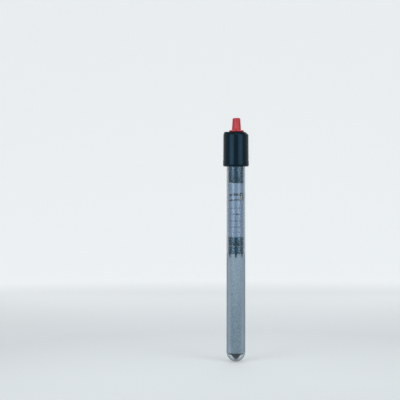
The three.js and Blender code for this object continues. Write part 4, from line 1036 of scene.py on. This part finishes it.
def makeResistorBody():
    x, y, bottom, top = -4.3, 0.45, -60.2, -51.7
    profile = [(0, bottom), (0.7, bottom), (1.05, bottom + 0.2), (1.2, bottom + 0.6), (1.2, bottom + 1.5)]
    profile += [(1.02, bottom + 2.1)]
    profile += [(r, top + bottom - z) for r, z in reversed(profile)]
    piece("resistorBody", turned(profile, 40, x, y), "resistorLacquer", "lamp_resistor")
    for name, start, way in (("resistorLegLow", bottom, -1), ("resistorLegHigh", top, 1)):
        points = [
            (x, y, start - way * 0.6), (x, y, start + way * 1.4),
            (x + 0.25, y + 0.5, start + way * 2), (-3.1, 2.85, start + way * 2.4),
        ]
        wirePiece(name, rounded(points, 0.8), 0.3, 12, "steel")


def makeLeads():
    sheath = 0.8
    routes = {
        "liveLead": ("live_lead", [
            (glandX - 1.2, glandY, 30.2), (-leadX, leadY, 28.4), (-leadX, leadY, -19.85), (-2.6, leadY, -22.05),
        ]),
        "neutralLead": ("neutral_lead", [
            (glandX + 1.2, glandY, 30.2), (glandX + 1.4, glandY - 0.3, 29.4), (leadX, leadY, 28.4),
            (leadX, leadY, -88.0), (0, 0, -91.5), (0, 0, -93.9),
        ]),
        "loadLead": ("load_lead", [
            (-2.6, leadY, -67.85), (-leadX, leadY, -70.05), (-leadX, leadY, -88.0), (-2.04, 4.18, -90.0),
            (-2.04, 4.18, -94.2),
        ]),
    }
    for name, (node, points) in routes.items():
        wirePiece(name, rounded(points), sheath, 20, "sleeving", node)


makeCarrier()
makeScrew()
makeRivets()
makeLamp()
makeResistorBody()
makeLeads()
print("thermostat made")


# A roll of paper with a window: two skins, joined along every free edge.
def makeLabelCard():
    size = {"wall": 0.35, "left": -100, "right": 140, "bottom": -74.7, "top": -17.8}
    window = {"left": 30, "right": 80, "bottom": -35.6, "top": -28.0}

    def lines(first, last, steps):
        before, across, after = steps
        whole = spread(size[first], window[first], before) + spread(window[first], window[last], across)[1:]
        return whole + spread(window[last], size[last], after)[1:]

    angles = lines("left", "right", (65, 25, 30))
    heights = lines("bottom", "top", (12, 4, 4))
    bm = bmesh.new()
    outside, inside = (
        [[bm.verts.new((*polar(radius, angle - 90), z)) for angle in angles] for z in heights]
        for radius in (packRadius, packRadius - size["wall"])
    )
    kept = []
    for i in range(len(heights) - 1):
        for j in range(len(angles) - 1):
            across = window["left"] < (angles[j] + angles[j + 1]) / 2 < window["right"]
            if not (across and window["bottom"] < (heights[i] + heights[i + 1]) / 2 < window["top"]):
                kept.append((i, j))
    cells = set(kept)
    for i, j in kept:
        corners = [(i, j), (i, j + 1), (i + 1, j + 1), (i + 1, j)]
        bm.faces.new([outside[a][b] for a, b in corners])
        bm.faces.new([inside[a][b] for a, b in reversed(corners)])
        neighbours = [(i - 1, j), (i, j + 1), (i + 1, j), (i, j - 1)]
        for k, neighbour in enumerate(neighbours):
            if neighbour not in cells:
                (a, b), (c, d) = corners[k], corners[(k + 1) % 4]
                bm.faces.new([outside[a][b], outside[c][d], inside[c][d], inside[a][b]])
    bmesh.ops.delete(bm, geom=[v for v in bm.verts if not v.link_faces], context="VERTS")
    bmesh.ops.recalc_face_normals(bm, faces=bm.faces)
    piece("labelRoll", bm, "labelPaper", "label_card", smoothAngle=30)


# Two black discs with the mica between them; the lower one is a cup with fingers.
def makeInsulators():
    size = {"bore": 7.4, "edge": 0.4, "roof": 2.0, "finger": 1.1, "tip": 0.25, "point": 0.14, "length": 4.4}
    outer, bore, edge = packRadius, size["bore"], size["edge"]

    def discSide(bottom, top):
        upper = [(outer, top - edge), (outer - 0.1, top - 0.15), (outer - edge, top), (0, top)]
        return [(r, bottom + top - z) for r, z in reversed(upper)], upper

    bottom, top = -83.8, -75.0
    lowerHalf, upperHalf = discSide(bottom, top)
    plug = combined(turned(lowerHalf + upperHalf, 128), cut=leadHoles(bottom, top))
    piece("upperInsulator", plug, "phenolic", "upper_insulator")
    bottom, top = -84.7, -84.1
    washer = combined(rod(outer, bottom, top, steps=128, edge=0.05), cut=leadHoles(bottom, top))
    piece("micaWasher", washer, "mica", "mica_washer")

    bottom, top = -92.4, -85.0
    ceiling = top - size["roof"]
    hollow = [(0, ceiling), (bore - 0.3, ceiling), (bore, ceiling - 0.3), (bore, bottom), (outer, bottom)]
    cup = combined(turned(hollow + discSide(bottom, top)[1], 128), cut=leadHoles(ceiling, top))
    piece("lowerInsulator", cup, "phenolic", "lower_insulator")
    rows = []
    for down in spread(0, 1, 12):
        half = size["finger"] + (size["tip"] - size["finger"]) * down if down < 1 else size["point"]
        reach = math.degrees(half / outer)
        z = bottom + 0.001 - size["length"] * down
        rows.append([
            (*polar(radius, -90 + way * reach * (k / 2 - 1)), z)
            for radius, way in ((outer, 1), (bore, -1)) for k in range(5)
        ])
    grownPiece(
        "insulatorFingers", metreMesh(capped(rows), "insulatorFingers"), aroundTree, "phenolic",
        Count=8, Step=45.0, Centre=(0.0, 0.0, 0.0),
    )


makeLabelCard()
makeInsulators()
print("label and insulators made")

coil = {
    "radius": 4.65, "wire": 0.35, "loops": 24, "top": -96.9, "bottom": -192.9, "stub": 2.2, "rise": 0.7, "start": 116,
}


def makeCore():
    size = {"radius": 3.9, "flutes": 8, "depth": 0.4, "bore": 1.2, "top": -95.7, "bottom": -193.9}
    radius, top, bottom, bore = size["radius"], size["top"], size["bottom"], size["bore"]

    def radiusAt(r, z, around):
        if r == bore:
            return r
        return r - size["depth"] * (0.5 - 0.5 * math.cos(math.radians(around) * size["flutes"]))

    fluted = turned([
        (bore, bottom), (radius - 0.15, bottom), (radius, bottom + 0.15), (radius, top - 0.15),
        (radius - 0.15, top), (bore, top),
    ], 96, ring=True, radiusAt=radiusAt)
    piece("ceramicCore", fluted, "ceramic", "ceramic_core")


def makeCoil():
    perLoop = 40
    steps = coil["loops"] * perLoop
    points = []
    for i, z in enumerate(spread(coil["top"], coil["bottom"], steps)):
        points.append(Vector((*polar(coil["radius"], coil["start"] - 360 * i / perLoop), z)))
    first, last = points[0].copy(), points[-1].copy()
    above, below = first.copy(), last.copy()
    above.z += coil["stub"]
    below.z -= coil["stub"]
    first.z += coil["rise"]
    last.z -= coil["rise"]
    route = [above, first] + points[2:-2] + [last, below]
    wirePiece("heatingCoil", route, coil["wire"], 8, "steel", "heating_coil")


def makeReturnLead():
    x, y = polar(coil["radius"], coil["start"] - coil["loops"] * 360)
    under = coil["bottom"] - coil["stub"] - 1.0
    points = rounded([(0, 0, -94.7), (0, 0, under), (x, y, under)])
    wirePiece("returnLead", points, 0.7, 14, "steel", "return_lead")


# The filling, notched for the insulator's fingers, and the loose grains on it.
def makeSandFill():
    size = {
        "outer": 8.71, "bore": 5.3, "bottom": -198.0, "top": -92.7, "mouth": 6.35, "mouthBottom": -96.0,
        "rows": 24, "rowHeight": 4.2, "notches": 8, "notchTop": -92.4, "grain": 0.21, "grainTop": -97.3,
    }
    outer, bore, bottom, top, mouth = (size[key] for key in ("outer", "bore", "bottom", "top", "mouth"))
    profile = [(bore, bottom), (outer - 0.2, bottom)]
    profile += [(outer, bottom + 0.2 + i * size["rowHeight"]) for i in range(size["rows"] + 1)]
    profile += [(outer, top), (mouth, top), (mouth, size["mouthBottom"]), (bore, size["mouthBottom"])]
    notches = []
    for i in range(size["notches"]):
        corners = [(-1.4, 1.7), (-0.55, -4.7), (0.55, -4.7), (1.4, 1.7)]
        notch = hull([(x, y, size["notchTop"] + z) for y in (-7.1, -11) for x, z in corners])
        notches.append(swung(notch, 360 / size["notches"] * i))
    piece("sandFill", combined(turned(profile, 128, ring=True), cut=notches), "sand", "sand_fill")
    skin = turned([(outer - 0.02, bottom + 0.3), (outer - 0.02, size["grainTop"])], 64)
    grownPiece(
        "looseGrains", metreMesh(skin, "looseGrains"), grainTree, "sand", smoothAngle=1,
        Density=1.5e6, Size=size["grain"] * mm, Seed=11,
    )


# Rubber pad that keeps the filling in, with a tapered boss that ends just above the dome.
def makeEndPad():
    pad = turned([
        (0, -204.9), (1.1, -204.9), (1.4, -204.75), (5.7, -199.9), (5.8, -199.6), (5.85, -199.35), (8.0, -199.3),
        (8.15, -199.15), (8.2, -198.6), (8.2, -198.4), (8.1, -198.3), (0, -198.3),
    ], 128)
    piece("endPad", pad, "rubber", "end_pad")


makeCore()
makeCoil()
makeSandFill()
makeEndPad()
makeReturnLead()
print("heating element made")

# These CAD nodes keep their shape and only take a finish.
keptNodes = {
    "rubber": ["tube_seal", "stopper", "o_ring_lower", "o_ring_upper"],
    "brass": ["spindle", "spindle_bush", "setting_nut", "bimetal_bracket"],
    "steel": ["retaining_clip", "return_crimp", "coil_crimp"],
    "contactSilver": ["fixed_contact", "moving_contact"],
    "springBronze": ["contact_arm"], "ferrite": ["magnet"], "bimetal": ["bimetal_strip"],
    "capacitorDip": ["suppressor_capacitor"],
}
for finish, names in keptNodes.items():
    for name in names:
        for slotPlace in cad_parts[name].material_slots:
            slotPlace.material = finishes[finish]


# Pale seamless surface that glows for the eye, glass and mirrored rays alone; its floor stays dull for the shadow.
def makeSweepFinish():
    look = {"paint": (0.58, 0.575, 0.56), "glow": (0.69, 0.71, 0.72, 1), "floorGlow": 0.42, "from": 0.3, "to": 1.3}
    tree, shader = newMaterial("paleSweep", {"Roughness": 0.9, "Emission Strength": 1.0})
    grain = useGroup(tree, fineGrain, Size=2.0, Patch=120.0)
    paint = mix(times(grain["Tone"], 0.25), rgba(look["paint"]), rgba(look["paint"], 0.96))
    path = shade(tree, "LightPath")
    seen = larger(larger(path["Is Camera Ray"], path["Is Transmission Ray"]), path["Is Glossy Ray"])
    reach = awayFromAxis(shade(tree, "TexCoord")["Object"])
    level = times(seen, ramp(reach, look["from"], look["to"], look["floorGlow"], 1.0))
    tree.links.new(paint, shader.inputs["Base Color"])
    tree.links.new(mix(level, (0, 0, 0, 1), look["glow"]), shader.inputs["Emission Color"])


# Floor and wall in one round sweep, in metres.
def makeStudio():
    size = {"floor": -0.2076, "radius": 2.0, "bend": 0.6, "height": 1.6}
    inner = size["radius"] - size["bend"]
    profile = [(r, size["floor"]) for r in (0, 0.4, 0.9, inner)]
    profile += arc(inner, size["floor"] + size["bend"], size["bend"], -82, 0, 12)
    profile += [(size["radius"], size["height"])]
    bm = turned(profile, 96)
    bmesh.ops.reverse_faces(bm, faces=bm.faces)
    made = linked("studioSweep", meshFrom(bm, "studioSweep"))
    made.data.materials.append(finishes["paleSweep"])
    made.data.shade_smooth()


def makeLamps():
    # degrees round the object, distance, height, width and height of the box in metres, and watts
    lamps = {
        "softboxLeft": (-39, 0.75, 0.19, 0.5, 0.62, 0.9),
        "softboxRight": (42, 0.8, 0.19, 0.58, 0.62, 0.85),
        "softboxTop": (10, 0.5, 0.85, 0.8, 0.5, 0.8),
        "softboxBack": (180, 0.9, 0.35, 0.8, 0.8, 0.8),
    }
    target = Vector((0, 0, -0.07))
    for name, (around, distance, height, width, tall, power) in lamps.items():
        data = bpy.data.lights.new(name, "AREA")
        data.shape = "RECTANGLE"
        data.size, data.size_y, data.energy = width, tall, power
        data.spread = math.radians(90)
        data.color = (0.86, 0.94, 1.0)
        made = linked(name, data)
        x, y = polar(distance, around - 90)
        made.location = place = Vector((x, y, target.z + height))
        made.rotation_euler = (target - place).to_track_quat("-Z", "Y").to_euler()
        made.visible_camera = False
    world = bpy.data.worlds.new("paleRoom")
    scene.world = world
    world.use_nodes = True
    tree = world.node_tree
    tree.nodes.clear()
    background = addNode(tree, "ShaderNodeBackground", {"Color": (0.8, 0.92, 1.0, 1), "Strength": 0.36})
    addNode(tree, "ShaderNodeOutputWorld", {"Surface": background.outputs[0]})


def makeCamera():
    view = {"height": -0.0355, "distance": 1.3, "lens": 109.9, "shiftX": -0.0898}
    data = bpy.data.cameras.new("camera")
    data.lens = view["lens"]
    data.sensor_width = 36
    data.shift_x = view["shiftX"]
    data.clip_start = 0.01
    made = linked("camera", data)
    made.location = (0, -view["distance"], view["height"])
    made.rotation_euler = (math.radians(90), 0, 0)
    scene.camera = made


makeSweepFinish()
makeStudio()
makeLamps()
makeCamera()
scene.view_settings.view_transform = "Standard"
